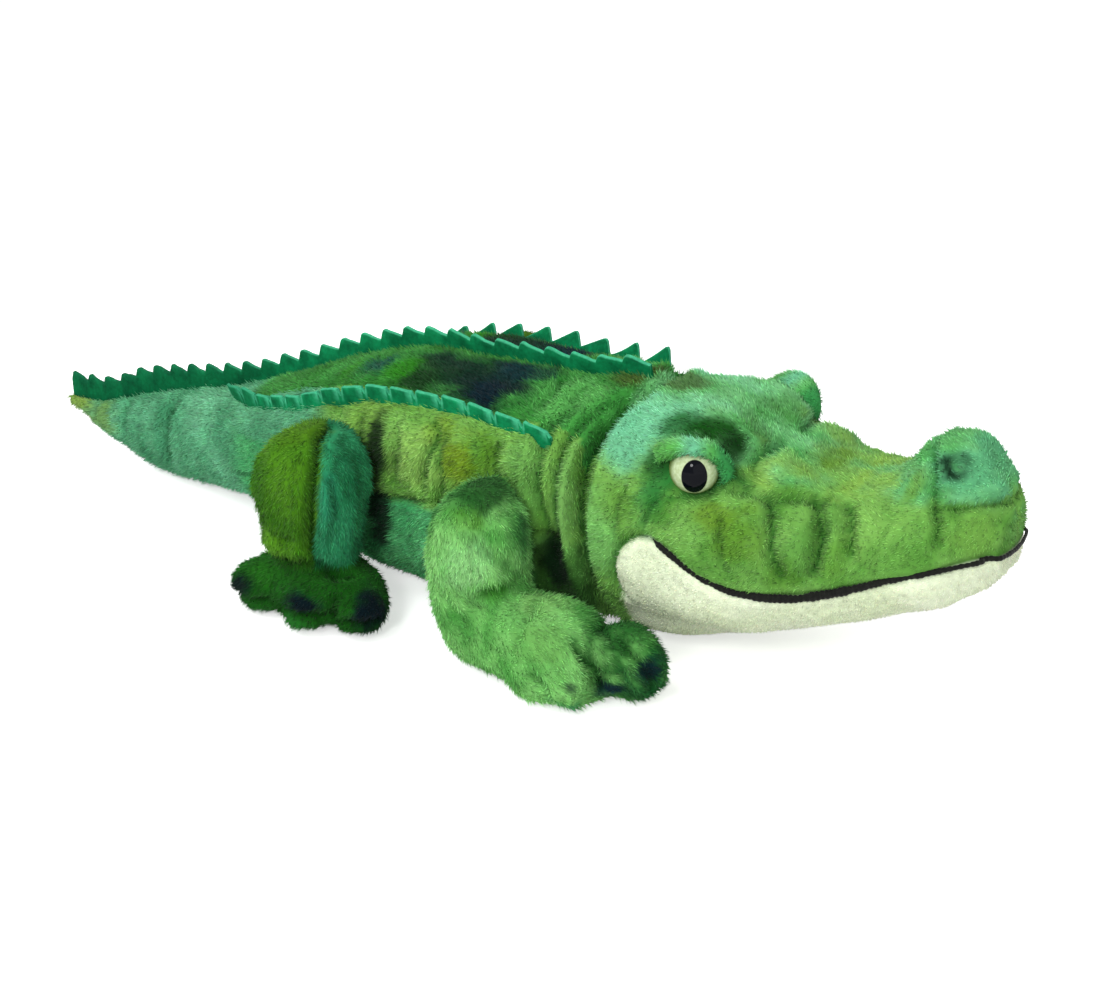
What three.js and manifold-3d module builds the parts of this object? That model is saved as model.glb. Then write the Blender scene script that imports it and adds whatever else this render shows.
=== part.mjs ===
// Plush crocodile, lying on its belly. Millimetres, +Z up, +X toward the snout, +Y to its own left.
// The origin is on the floor, under the middle of the whole toy.
import * as THREE from 'three';
import { mergeVertices } from 'three/addons/utils/BufferGeometryUtils.js';
import Module from 'manifold-3d';

const wasm = await Module();
wasm.setup();

// Lengths of the three stretches, from the tail tip to the nose
const tail_length = 112;
const torso_length = 212;
const head_length = 136;

// Cloth, thread and the clearances between pieces
const skin_thickness = 2.2;
const felt_thickness = 1.6;
const seam_gap = 0.3;
const stuffing_gap = 0.45;
const joint_gap = 0.55;
const floor_cut = 0.5;
const overrun = 20;
const narrow_end = 10;

// Tail, measured where it leaves the torso, and how far its tip lifts
const tail_root_half_width = 23.5;
const tail_root_height = 51.5;
const tail_lift = 23;
const tail_tip_filling_end = 14;
const tail_middle_from_tip = 78;
const tail_root_socket = 26;
const tail_middle_socket = 20.5;

// Torso at its fullest, and how far its ends lift off the floor
const torso_half_width = 51.5;
const torso_top = 91.5;
const belly_lift = 6;

// Neck: two nested ball surfaces, the roll of cloth between them, and their common centre
const neck_roll_length = 10;
const neck_ball_tuck = 1;
const neck_roll_thickness = 5;
const neck_ball_ahead = 15;
const neck_ball_height = 48;

// Head
const head_narrower = 1.5;
const head_top = 97;
const mouth_cord_radius = 1.6;
const jaw_start = 13;
const nose_round = 6.6;
const nose_filling_end = 10;
const nose_knob = { back: 24, up: 81.5, long: 16, wide: 18, high: 16 };
const brow = { ahead: 36, from_cheek: 28, up: 80, long: 19.5, wide: 11, high: 14 };
const nostril = { back: 17, side: 10, up: 89, radius: 3.4 };

// Eye: a plastic dome on a stem, with a washer behind the cloth, and a plush lid over it
const eye = { ahead: 36.5, from_cheek: 11.5, up: 78.5, radius: 8.5, stem: 2.2, stem_length: 9 };
const eye_washer = { radius: 6.5, thickness: 1.4 };
const eyelid_thickness = 2.4;

// Felt crests: teeth heights and how many there are
const crest_height = 9;
const crest_valley = 3;
const tail_crest_height = 8;
const side_crest_height = 9;
const side_crest_valley = 3;
const side_crest_start = 13;
const side_crest_end = 14;
const back_crest_overhang = 4;
const crest_free_length = 12;
const crest_teeth = 28;
const side_crest_teeth = 15;

// Legs, given on one side; the other side mirrors them
const leg_seat = 14;
const foreleg = {
  x: 62, hinge_up: 46, out: 67, height: 69, long: 20, wide: 21,
  paw_reach: 52, paw_out: 73.5, paw_half_width: 19, wrist_height: 34,
};
const forearm_power_share = 2.3;
const fore_toe = { long: 15, wide: 8.8, high: 12.5 };
const outer_fore_toe = { reach: 48, out: 82.5 };
const middle_fore_toe = { reach: 62, out: 71.5 };
const inner_fore_toe = { reach: 73, out: 63 };
const hindleg = { x: -13, hinge_up: 48, out: 70, height: 76, long: 22, wide: 23, ankle_up: 24.4 };
const foot = { ahead: 4, long: 31, wide: 19.4, high: 13.4, out: 72, opening: 12 };
const hind_toe = { long: 12, wide: 13, high: 10.8 };
const rear_hind_toe = { back: 20, out: 79 };
const middle_hind_toe = { ahead: 4, out: 80.5 };
const front_hind_toe = { ahead: 22, out: 75 };

// How high the tail's root hangs, as a share of the tail's lift
const tail_root_bottom_share = 0.11;

// Places that follow from the lengths
const head_half_width = torso_half_width - head_narrower;
const brow_side = head_half_width - brow.from_cheek;
const eye_side = head_half_width - eye.from_cheek;
const neck_ball_radius = torso_half_width - neck_ball_tuck;
const total_length = tail_length + torso_length + head_length;
const nose_x = total_length / 2;
const tail_tip_x = -nose_x;
const torso_rear_x = tail_tip_x + tail_length;
const head_rim_x = torso_rear_x + torso_length;
const torso_front_x = head_rim_x - neck_roll_length;
const tail_middle_x = tail_tip_x + tail_middle_from_tip;
const neck_centre = new THREE.Vector3(head_rim_x + neck_ball_ahead, 0, neck_ball_height);
const filling_inset = skin_thickness + stuffing_gap;
const slot_half = felt_thickness / 2 + seam_gap;
const tail_root_top = tail_root_height + tail_lift * tail_root_bottom_share - floor_cut;

// Outline tables. Each row: share along, share of the half width, of the height, of the lift, corner power
const tail_shares = [
  [0.0, 1.0, 1.0, tail_root_bottom_share, 2.2],
  [0.11, 0.89, 0.95, 0.06, 2.2],
  [0.29, 0.745, 0.88, 0.0, 2.2],
  [0.45, 0.64, 0.765, 0.06, 2.2],
  [0.68, 0.47, 0.505, 0.33, 2.1],
  [0.82, 0.36, 0.33, 0.54, 2.1],
  [0.93, 0.25, 0.19, 0.81, 2.1],
  [1.0, 0.155, 0.105, 0.97, 2.1],
];
// Torso rows: share along, half width and top from the tail root's (0) to the fullest (1), lift, power
const torso_shares = [
  [0.0, 0.0, 0.0, 0.42, 2.2],
  [0.15, 0.34, 0.26, 0.83, 2.4],
  [0.32, 0.7, 0.65, 0.5, 2.7],
  [0.44, 0.91, 0.88, 0.12, 3.0],
  [0.56, 0.985, 0.985, 0.0, 3.3],
  [0.745, 1.0, 1.0, 0.0, 3.4],
  [0.86, 1.0, 1.01, 0.1, 3.1],
  [0.953, 0.945, 1.08, 0.6, 2.4],
];
// Head rows: share along, share of the half width, top and bottom as shares of its height, power
const head_shares = [
  [0.0, 0.94, 0.975, 0.025, 2.1],
  [0.11, 1.0, 0.995, 0.005, 2.2],
  [0.23, 1.0, 0.985, 0.035, 2.3],
  [0.34, 0.97, 0.925, 0.095, 2.4],
  [0.43, 0.91, 0.855, 0.145, 2.4],
  [0.5, 0.85, 0.825, 0.175, 2.4],
  [0.62, 0.76, 0.81, 0.235, 2.3],
  [0.71, 0.7, 0.85, 0.28, 2.3],
  [0.8, 0.66, 0.895, 0.35, 2.3],
  [0.89, 0.58, 0.885, 0.43, 2.2],
  [0.955, 0.42, 0.82, 0.52, 2.1],
  [1.0, 0.06, 0.69, 0.65, 2.0],
];
// The mouth seam: share along the head and share of its height
const mouth_shares = [
  [0.0, 0.56],
  [0.2, 0.54],
  [0.28, 0.49],
  [0.35, 0.44],
  [0.43, 0.4],
  [0.55, 0.425],
  [0.68, 0.5],
  [0.8, 0.58],
  [0.9, 0.64],
  [1.0, 0.67],
];
// Half width of the crown panel, as a share of the head's half width
const crown_shares = [
  [0.0, 0.8],
  [0.28, 0.73],
  [0.36, 0.69],
  [0.5, 0.55],
  [0.8, 0.55],
  [1.0, 0.5],
];
// Where the side crests run, as a share of the torso's half width
const side_crest_line_shares = [
  [0.0, 0.62],
  [0.25, 0.69],
  [0.6, 0.75],
  [1.0, 0.78],
];
const tooth_peak_share = 0.22;
const side_crest_rise_share = 1.5;

// Colours of the cloth, felt, thread and plastic
const cloth = (name, color, roughness = 0.95) =>
  new THREE.MeshStandardMaterial({ name, color, roughness, metalness: 0 });
const materials = {
  back_plush: cloth('back_plush', 0x2f5f37),
  flank_plush: cloth('flank_plush', 0x8fae4c),
  belly_plush: cloth('belly_plush', 0x3f8a5f),
  tail_plush: cloth('tail_plush', 0x5f9a6a),
  crown_plush: cloth('crown_plush', 0x55a06a),
  cheek_plush: cloth('cheek_plush', 0x5f9a42),
  leg_plush: cloth('leg_plush', 0x55924a),
  foot_plush: cloth('foot_plush', 0x2c5b36),
  jaw_plush: cloth('jaw_plush', 0xece9bf),
  crest_felt: cloth('crest_felt', 0x1f8a55, 0.9),
  black_thread: cloth('black_thread', 0x14140f, 0.7),
  eye_plastic: cloth('eye_plastic', 0xe6ddb0, 0.12),
  washer_plastic: cloth('washer_plastic', 0xf2f2ee, 0.5),
  filling_fibre: cloth('filling_fibre', 0xf4f4f0, 1),
};

// Smooth interpolation of a table whose first column is the place along the piece
function rowAt(table, place) {
  const last = table.length - 1;
  let k = 0;
  while (k < last - 1 && place > table[k + 1][0]) k += 1;
  const slope = (i, column) => {
    const low = Math.max(i - 1, 0);
    const high = Math.min(i + 1, last);
    return (table[high][column] - table[low][column]) / (table[high][0] - table[low][0]);
  };
  const span = table[k + 1][0] - table[k][0];
  const s = Math.min(Math.max((place - table[k][0]) / span, 0), 1);
  return table[k].map((value, column) => {
    const next = table[k + 1][column];
    const start = slope(k, column) * span;
    const end = slope(k + 1, column) * span;
    const lead = (2 * s ** 3 - 3 * s ** 2 + 1) * value + (s ** 3 - 2 * s ** 2 + s) * start;
    return lead + (3 * s ** 2 - 2 * s ** 3) * next + (s ** 3 - s ** 2) * end;
  });
}

// Cross-section of the tail and torso at a place along X
function bodySection(x) {
  if (x < torso_rear_x) {
    const [, half, height, lift, power] = rowAt(tail_shares, (torso_rear_x - x) / tail_length);
    const bottom = lift * tail_lift - floor_cut;
    return { x, half: half * tail_root_half_width, top: bottom + height * tail_root_height, bottom, power };
  }
  const [, half, top, lift, power] = rowAt(torso_shares, (x - torso_rear_x) / torso_length);
  return {
    x,
    half: THREE.MathUtils.lerp(tail_root_half_width, torso_half_width, half),
    top: THREE.MathUtils.lerp(tail_root_top, torso_top, top),
    bottom: lift * belly_lift - floor_cut,
    power,
  };
}

// Cross-section of the head at a place along X
function headSection(x) {
  const [, half, top, bottom, power] = rowAt(head_shares, (x - head_rim_x) / head_length);
  return {
    x,
    half: half * head_half_width,
    top: top * head_top,
    bottom: bottom * head_top - floor_cut,
    power,
  };
}

const mouthHeight = (x) => rowAt(mouth_shares, (x - head_rim_x) / head_length)[1] * head_top;

// How many flats go round and along a ball, and round a bar
const ball_mesh = [14, 8];
const small_ball_mesh = [8, 6];
const bar_sides = 8;
const washer_sides = 16;
const roll_sides = 20;
const cord_sides = 5;
const leg_sides = 10;

// A section drawn in by some depth, and less deeply where the piece is narrow
function drawnIn(section, depth) {
  const shrink = (size) => (size > narrow_end ? size - depth : size * (1 - depth / narrow_end));
  const middle = (section.top + section.bottom) / 2;
  const high = shrink((section.top - section.bottom) / 2);
  return { ...section, half: shrink(section.half), top: middle + high, bottom: middle - high };
}

// Point of a section at an angle measured from straight up; positive angles turn to the left side
function pointAt(section, angle) {
  const bend = (value) => Math.sign(value) * Math.abs(value) ** (2 / section.power);
  const middle = (section.top + section.bottom) / 2;
  const half_height = (section.top - section.bottom) / 2;
  return new THREE.Vector3(section.x, section.half * bend(Math.sin(angle)),
    middle + half_height * bend(Math.cos(angle)));
}

// Angle on the upper half at which the section is so far from its middle plane
const angleAtWidth = (section, width) => Math.asin((width / section.half) ** (section.power / 2));

// Angle at which the section has a given height
function angleAtHeight(section, height) {
  const middle = (section.top + section.bottom) / 2;
  const share = THREE.MathUtils.clamp((height - middle) / (section.top - middle), -1, 1);
  return Math.acos(Math.sign(share) * Math.abs(share) ** (section.power / 2));
}

const up = new THREE.Vector3(0, 0, 1);
const left = new THREE.Vector3(0, 1, 0);
const spread = (from, to, steps) =>
  Array.from({ length: steps + 1 }, (_, i) => from + ((to - from) * i) / steps);

// Angles of one turn, without repeating the first
const turnOf = (sides) => spread(0, 2 * Math.PI, sides).slice(0, sides);

// One closed mesh from a list of points and a list of faces, each a loop of point numbers
function meshOf(points, faces) {
  const index = [];
  for (const loop of faces) {
    for (let i = 1; i < loop.length - 1; i += 1) index.push(loop[0], loop[i], loop[i + 1]);
  }
  const geometry = new THREE.BufferGeometry();
  const places = points.flatMap((point) => point.toArray());
  geometry.setAttribute('position', new THREE.Float32BufferAttribute(places, 3));
  geometry.setIndex(index);
  return geometry;
}

// Solid through a row of rings that all have the same number of points, with flat ends
function loft(rings) {
  const size = rings[0].length;
  const points = rings.flat();
  const faces = [];
  for (let i = 0; i < rings.length - 1; i += 1) {
    for (let j = 0; j < size; j += 1) {
      const a = i * size + j;
      const b = i * size + ((j + 1) % size);
      faces.push([a, b, b + size, a + size]);
    }
  }
  const first = Array.from({ length: size }, (_, j) => size - 1 - j);
  const last = Array.from({ length: size }, (_, j) => (rings.length - 1) * size + j);
  faces.push(first, last);
  return meshOf(points, faces);
}

// A slab between an outer and an inner grid of points
function slab(outer, inner) {
  const rows = outer.length;
  const columns = outer[0].length;
  const points = [...outer.flat(), ...inner.flat()];
  const out = (i, j) => i * columns + j;
  const back = (i, j) => rows * columns + i * columns + j;
  const faces = [];
  for (let i = 0; i < rows - 1; i += 1) {
    for (let j = 0; j < columns - 1; j += 1) {
      faces.push([out(i, j), out(i, j + 1), out(i + 1, j + 1), out(i + 1, j)]);
      faces.push([back(i, j), back(i + 1, j), back(i + 1, j + 1), back(i, j + 1)]);
    }
  }
  for (let i = 0; i < rows - 1; i += 1) {
    const last = columns - 1;
    faces.push([out(i, 0), out(i + 1, 0), back(i + 1, 0), back(i, 0)]);
    faces.push([out(i + 1, last), out(i, last), back(i, last), back(i + 1, last)]);
  }
  for (let j = 0; j < columns - 1; j += 1) {
    faces.push([out(0, j + 1), out(0, j), back(0, j), back(0, j + 1)]);
    faces.push([out(rows - 1, j), out(rows - 1, j + 1), back(rows - 1, j + 1), back(rows - 1, j)]);
  }
  return meshOf(points, faces);
}

// Mesh to solid, turned outward whichever way it was wound, and back again
function solid(geometry) {
  const bare = geometry.clone();
  for (const name of Object.keys(bare.attributes)) {
    if (name !== 'position') bare.deleteAttribute(name);
  }
  const merged = mergeVertices(bare);
  const vertProperties = new Float32Array(merged.attributes.position.array);
  const triVerts = new Uint32Array(merged.index.array);
  if (volume(vertProperties, triVerts) < 0) {
    for (let i = 0; i < triVerts.length; i += 3) {
      [triVerts[i + 1], triVerts[i + 2]] = [triVerts[i + 2], triVerts[i + 1]];
    }
  }
  const mesh = new wasm.Mesh({ numProp: 3, vertProperties, triVerts });
  mesh.merge();
  return new wasm.Manifold(mesh);
}

function volume(vertices, triangles) {
  const corner = (k) => new THREE.Vector3().fromArray(vertices, 3 * triangles[k]);
  let sum = 0;
  for (let i = 0; i < triangles.length; i += 3) sum += corner(i).dot(corner(i + 1).cross(corner(i + 2)));
  return sum / 6;
}

function geometryOf(body) {
  const mesh = body.getMesh();
  const geometry = new THREE.BufferGeometry();
  geometry.setAttribute('position', new THREE.BufferAttribute(new Float32Array(mesh.vertProperties), 3));
  geometry.setIndex(new THREE.BufferAttribute(new Uint32Array(mesh.triVerts), 1));
  return geometry;
}

const unite = (bodies) => bodies.reduce((sum, body) => sum.add(body));
const box = (low, high) => {
  const size = new THREE.Vector3().subVectors(high, low);
  const middle = new THREE.Vector3().addVectors(low, high).multiplyScalar(0.5);
  return solid(new THREE.BoxGeometry(size.x, size.y, size.z).translate(middle.x, middle.y, middle.z));
};

function ellipsoid(centre, radii, [around, along]) {
  const ball = new THREE.SphereGeometry(1, around, along).rotateX(Math.PI / 2);
  return solid(ball.scale(radii.x, radii.y, radii.z).translate(centre.x, centre.y, centre.z));
}

// Bodies to cut with: the floor, and everything ahead of or behind a plane across X
const reach = total_length + overrun;
const floor = box(new THREE.Vector3(-reach, -reach, -overrun), new THREE.Vector3(reach, reach, 0));
const behind = (x) => box(new THREE.Vector3(-reach, -reach, -reach), new THREE.Vector3(x, reach, reach));
const ahead = (x) => box(new THREE.Vector3(x, -reach, -reach), new THREE.Vector3(reach, reach, reach));

// Upright post that the tail turns about, seen as a round end or a round hollow
const joint_sides = 24;
function post(x, radius) {
  const cylinder = new THREE.CylinderGeometry(radius, radius, 2 * reach, joint_sides).rotateX(Math.PI / 2);
  return solid(cylinder.translate(x, 0, 0));
}

// A ball round the neck centre, with its poles on the axis it turns about
function neckBall(radius, turns_about_side) {
  const ball = new THREE.SphereGeometry(radius, joint_sides, joint_sides / 2);
  if (!turns_about_side) ball.rotateX(Math.PI / 2);
  return solid(ball.translate(neck_centre.x, neck_centre.y, neck_centre.z));
}

// The axis of a tail joint stands where its socket is as wide as the cloth at the rim
const axisBehind = (rim_x, radius) => rim_x - Math.sqrt(radius ** 2 - bodySection(rim_x).half ** 2);
const tail_root_axis_x = axisBehind(torso_rear_x, tail_root_socket);
const tail_middle_axis_x = axisBehind(tail_middle_x, tail_middle_socket);
const rootHollow = post(tail_root_axis_x, tail_root_socket + joint_gap);
const rootEnd = post(tail_root_axis_x, tail_root_socket).add(behind(tail_root_axis_x));
const middleHollow = post(tail_middle_axis_x, tail_middle_socket + joint_gap);
const middleEnd = post(tail_middle_axis_x, tail_middle_socket).add(behind(tail_middle_axis_x));
const roll_radius = neck_ball_radius + neck_roll_thickness;
const torsoHollow = neckBall(roll_radius + joint_gap, false);

// A sewn panel between two seams, as a slab as thick as the cloth
function panel(sectionAt, places, from, to, columns) {
  const grid = (depth) => places.map((x) => {
    const section = sectionAt(x);
    const inner = drawnIn(section, depth);
    return spread(from(section), to(section), columns).map((angle) => pointAt(inner, angle));
  });
  return solid(slab(grid(0), grid(skin_thickness)));
}

// Angles all round a section, taken from its panels so that stuffing and cloth share their flats
function ringAngles(section, bands) {
  const half_ring = bands.flatMap(([from, to, columns]) => spread(from(section), to(section), columns));
  const other = half_ring.filter((angle) => angle < Math.PI).map((angle) => -angle).reverse();
  return [...half_ring, ...other];
}

// The stuffing under the cloth, or the whole form where the depth is negative
function form(sectionAt, places, bands, depth) {
  return solid(loft(places.map((x) => {
    const section = sectionAt(x);
    const inner = drawnIn(section, depth);
    return ringAngles(section, bands).map((angle) => pointAt(inner, angle));
  })));
}

const torso_steps = 11;
const torso_places = spread(torso_rear_x, torso_front_x, torso_steps);
const crestLine = (section) =>
  section.half * rowAt(side_crest_line_shares, (section.x - torso_rear_x) / torso_length)[1];
const torsoCut = (body) => body.subtract(rootHollow).subtract(torsoHollow).subtract(floor);

function torsoPanel(from, to, columns) {
  return torsoCut(panel(bodySection, torso_places, from, to, columns));
}

const centreSlot = (section) => angleAtWidth(section, slot_half);
const belowCentreSlot = (section) => Math.PI - angleAtWidth(section, seam_gap / 2);
const innerCrestEdge = (section) => angleAtWidth(section, crestLine(section) - slot_half);
const outerCrestEdge = (section) => angleAtWidth(section, crestLine(section) + slot_half);
const aboveFlankSeam = () => Math.PI / 2;
const belowFlankSeam = (section) =>
  angleAtHeight(section, (section.top + section.bottom) / 2 - seam_gap);

const bottom = () => Math.PI;
const torso_bands = [
  [centreSlot, innerCrestEdge, 4],
  [outerCrestEdge, aboveFlankSeam, 4],
  [belowFlankSeam, bottom, 4],
];
const torsoFilling = () => torsoCut(form(bodySection, torso_places, torso_bands, filling_inset));

// The tail's two stretches, each of two side skins round their stuffing
const tailFrontPlaces = spread(tail_middle_x, tail_root_axis_x + tail_root_socket + seam_gap, 5);
const tailRearPlaces = spread(tail_tip_x, tail_middle_axis_x + tail_middle_socket + seam_gap, 8);
const tailFrontCut = (body) => body.intersect(rootEnd).subtract(middleHollow).subtract(floor);
const tailRearCut = (body) => body.intersect(middleEnd).subtract(floor);
const tailSkin = (places) => panel(bodySection, places, centreSlot, belowCentreSlot, 6);
const tail_bands = [[centreSlot, belowCentreSlot, 6]];
const tailFilling = (places) => form(bodySection, places, tail_bands, filling_inset);

// A toothed felt strip that stands in a seam. root and rise give its foot and its direction at a place
function crest(from, to, teeth, root, rise, side, peak, valley) {
  const pitch = (to - from) / teeth;
  const outline = [];
  for (let k = 0; k < teeth; k += 1) {
    outline.push([from + pitch * k, valley]);
    outline.push([from + pitch * (k + tooth_peak_share), peak]);
  }
  outline.push([to, valley]);
  const half_felt = felt_thickness / 2;
  const rings = outline.map(([x, height]) => {
    const foot_point = root(x);
    const tip = foot_point.clone().addScaledVector(rise, height + skin_thickness - seam_gap);
    return [
      foot_point.clone().addScaledVector(side, -half_felt),
      foot_point.clone().addScaledVector(side, half_felt),
      tip.clone().addScaledVector(side, half_felt),
      tip.clone().addScaledVector(side, -half_felt),
    ];
  });
  return solid(loft(rings));
}

const crest_free_x = torso_front_x - crest_free_length;
const crest_start_x = tail_tip_x;
const crest_end_x = torso_front_x + back_crest_overhang;
const crest_pitch = (crest_end_x - crest_start_x) / crest_teeth;
// The crest is tucked in its seam as far as the torso reaches, and passes just above the neck roll
const crestRoot = (x) => {
  const over_roll = bodySection(torso_front_x).top + joint_gap;
  const tucked = bodySection(x).top - skin_thickness + seam_gap;
  return new THREE.Vector3(x, 0, x > crest_free_x ? over_roll : tucked);
};

function centreCrest(from, to, height) {
  const teeth = Math.max(Math.round((to - from) / crest_pitch), 1);
  return crest(from, to, teeth, crestRoot, up, left, height, crest_valley);
}

function sideCrest(side) {
  const rise = new THREE.Vector3(0, side, side_crest_rise_share).normalize();
  const across = new THREE.Vector3(0, -side_crest_rise_share * side, 1).normalize();
  const root = (x) => {
    const section = bodySection(x);
    const angle = side * angleAtWidth(section, crestLine(section));
    return pointAt(drawnIn(section, skin_thickness - seam_gap), angle);
  };
  const from = torso_rear_x + side_crest_start;
  return crest(from, head_rim_x - side_crest_end, side_crest_teeth, root, rise, across,
    side_crest_height, side_crest_valley);
}

// The roll of cloth and the stuffing between the two neck balls
const neck_shell = neckBall(roll_radius, false).subtract(neckBall(neck_ball_radius, true));
const neckSectionAt = (x) => {
  const share = THREE.MathUtils.clamp((x - torso_front_x) / neck_roll_length, 0, 1);
  const torso = bodySection(torso_front_x);
  const head = headSection(head_rim_x);
  const mix = (key) => THREE.MathUtils.lerp(torso[key], head[key], share);
  return { x, half: mix('half'), top: mix('top'), bottom: mix('bottom'), power: mix('power') };
};
const roll_start_x = torso_front_x - neck_roll_thickness;
function neckRoll() {
  const places = spread(roll_start_x, head_rim_x - seam_gap, 2);
  const rings = places.map((x) => turnOf(roll_sides).map((angle) => pointAt(neckSectionAt(x), angle)));
  return solid(loft(rings)).intersect(neck_shell).subtract(floor);
}
const neckFilling = () => neck_shell.intersect(behind(roll_start_x - seam_gap));

// Head panels between the crown seam and the mouth
const jaw_start_x = head_rim_x + jaw_start;
const head_places = [head_rim_x, ...spread(jaw_start_x, nose_x - nose_round, 8), nose_x];
const ball_end = neckBall(neck_ball_radius - joint_gap, true);
const headEnd = ball_end.add(ahead(neck_centre.x));
const headCut = (body) => body.intersect(headEnd).subtract(floor);
const crownWidth = (section) =>
  section.half * rowAt(crown_shares, (section.x - head_rim_x) / head_length)[1];
const crownEdge = (section) => angleAtWidth(section, crownWidth(section) - seam_gap / 2);
const cheekTop = (section) => angleAtWidth(section, crownWidth(section) + seam_gap / 2);
const mouth_slot = mouth_cord_radius + seam_gap;
const cheekBottom = (section) => angleAtHeight(section, mouthHeight(section.x) + mouth_slot);
const jawTop = (section) => angleAtHeight(section, mouthHeight(section.x) - mouth_slot);
const head_bands = [[() => 0, crownEdge, 3], [cheekTop, cheekBottom, 5], [jawTop, bottom, 4]];

function headPanel(places, from, to, columns) {
  return panel(headSection, places, from, to, columns);
}

function headFilling() {
  const first_x = head_rim_x - skin_thickness;
  const stuffed = form(headSection, [first_x, ...head_places.slice(0, -1)], head_bands, filling_inset);
  const neck_end = ball_end.intersect(behind(head_rim_x - seam_gap)).subtract(floor);
  return headCut(stuffed).intersect(behind(nose_x - nose_filling_end)).add(neck_end);
}

// A round cord through a list of points
function cordThrough(points, radius) {
  const rings = points.map((point, i) => {
    const before = points[Math.max(i - 1, 0)];
    const after = points[Math.min(i + 1, points.length - 1)];
    const along = new THREE.Vector3().subVectors(after, before).normalize();
    const across = new THREE.Vector3().crossVectors(along, up).normalize();
    const over = new THREE.Vector3().crossVectors(across, along);
    return turnOf(cord_sides).map((angle) => point.clone()
      .addScaledVector(across, radius * Math.cos(angle)).addScaledVector(over, radius * Math.sin(angle)));
  });
  return solid(loft(rings));
}

// Embroidered mouth, laid in the seam between cheeks and jaw, round the front from one corner to the other
function mouthCord() {
  const seam = (x, side) => {
    const section = drawnIn(headSection(x), skin_thickness - mouth_cord_radius);
    return pointAt(section, side * angleAtHeight(section, mouthHeight(x)));
  };
  const along = head_places.slice(1, -1);
  const front = new THREE.Vector3(nose_x - mouth_cord_radius - seam_gap, 0, mouthHeight(nose_x));
  const right = along.map((x) => seam(x, -1));
  return cordThrough([...right, front, ...along.reverse().map((x) => seam(x, 1))], mouth_cord_radius);
}

// The head as one solid, a little larger, to keep what sits on it clear of the cloth
const head_surface = form(headSection, head_places, head_bands, -seam_gap);

function browRidge(side, extra) {
  const radii = new THREE.Vector3(brow.long + extra, brow.wide + extra, brow.high + extra);
  return ellipsoid(new THREE.Vector3(head_rim_x + brow.ahead, side * brow_side, brow.up), radii, ball_mesh);
}

// Padded ridges over the eyes, part of the crown
function brows() {
  const under = form(headSection, head_places, head_bands, skin_thickness);
  return unite([1, -1].map((side) => browRidge(side, 0))).subtract(under);
}

function noseKnob() {
  const centre = new THREE.Vector3(nose_x - nose_knob.back, 0, nose_knob.up);
  const radii = new THREE.Vector3(nose_knob.long, nose_knob.wide, nose_knob.high);
  return ellipsoid(centre, radii, ball_mesh).subtract(head_surface);
}

function nostrilDent(side, extra) {
  const centre = new THREE.Vector3(nose_x - nostril.back, side * nostril.side, nostril.up);
  const radius = nostril.radius + extra;
  return ellipsoid(centre, new THREE.Vector3(radius, radius, radius), small_ball_mesh);
}

const eyeCentre = (side) => new THREE.Vector3(head_rim_x + eye.ahead, side * eye_side, eye.up);
const eye_gaze_shares = { ahead: 0.3, side: 0.84, up: 0.45 };
const eyeGaze = (side) =>
  new THREE.Vector3(eye_gaze_shares.ahead, side * eye_gaze_shares.side, eye_gaze_shares.up).normalize();

// A round bar along the eye's gaze, from one distance behind its centre to another
function gazeBar(side, radius, from, to, sides) {
  const bar = new THREE.CylinderGeometry(radius, radius, to - from, sides).translate(0, (from + to) / 2, 0);
  const turn = new THREE.Quaternion().setFromUnitVectors(left, eyeGaze(side));
  const centre = eyeCentre(side);
  return solid(bar.applyQuaternion(turn).translate(centre.x, centre.y, centre.z));
}

function eyeball(side) {
  const radii = new THREE.Vector3(eye.radius, eye.radius, eye.radius);
  const dome = ellipsoid(eyeCentre(side), radii, ball_mesh)
    .subtract(head_surface).subtract(browRidge(side, seam_gap));
  return dome.add(gazeBar(side, eye.stem, -eye.stem_length, eye.radius - eye.stem, bar_sides));
}

function eyeWasher(side) {
  const near = -eye.stem_length + seam_gap;
  const disc = gazeBar(side, eye_washer.radius, near, near + eye_washer.thickness, washer_sides);
  return disc.subtract(gazeBar(side, eye.stem + seam_gap, near - overrun, overrun, bar_sides));
}

function eyelid(side) {
  const shell = (radius) =>
    ellipsoid(eyeCentre(side), new THREE.Vector3(radius, radius, radius), ball_mesh);
  const inner = eye.radius + seam_gap;
  const hood = shell(inner + eyelid_thickness).subtract(shell(inner))
    .subtract(head_surface).subtract(browRidge(side, seam_gap));
  const slope = new THREE.Vector3(-eye_gaze_shares.ahead, side * eye_gaze_shares.ahead, 1).normalize();
  const turn = new THREE.Quaternion().setFromUnitVectors(up, slope);
  const keep = new THREE.BoxGeometry(2 * overrun, 2 * overrun, overrun).translate(0, 0, overrun / 2);
  const centre = eyeCentre(side);
  keep.applyQuaternion(turn).translate(centre.x, centre.y, centre.z + seam_gap);
  return hood.intersect(solid(keep));
}

// Room behind the cloth for the washer, and through it for the stem
function eyeSpace(side) {
  const back = -eye.stem_length - seam_gap;
  const front = -eye.stem_length + eye_washer.thickness + seam_gap + seam_gap;
  return gazeBar(side, eye_washer.radius + seam_gap, back, front, washer_sides)
    .add(gazeBar(side, eye.stem + seam_gap, back, overrun, bar_sides));
}

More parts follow.
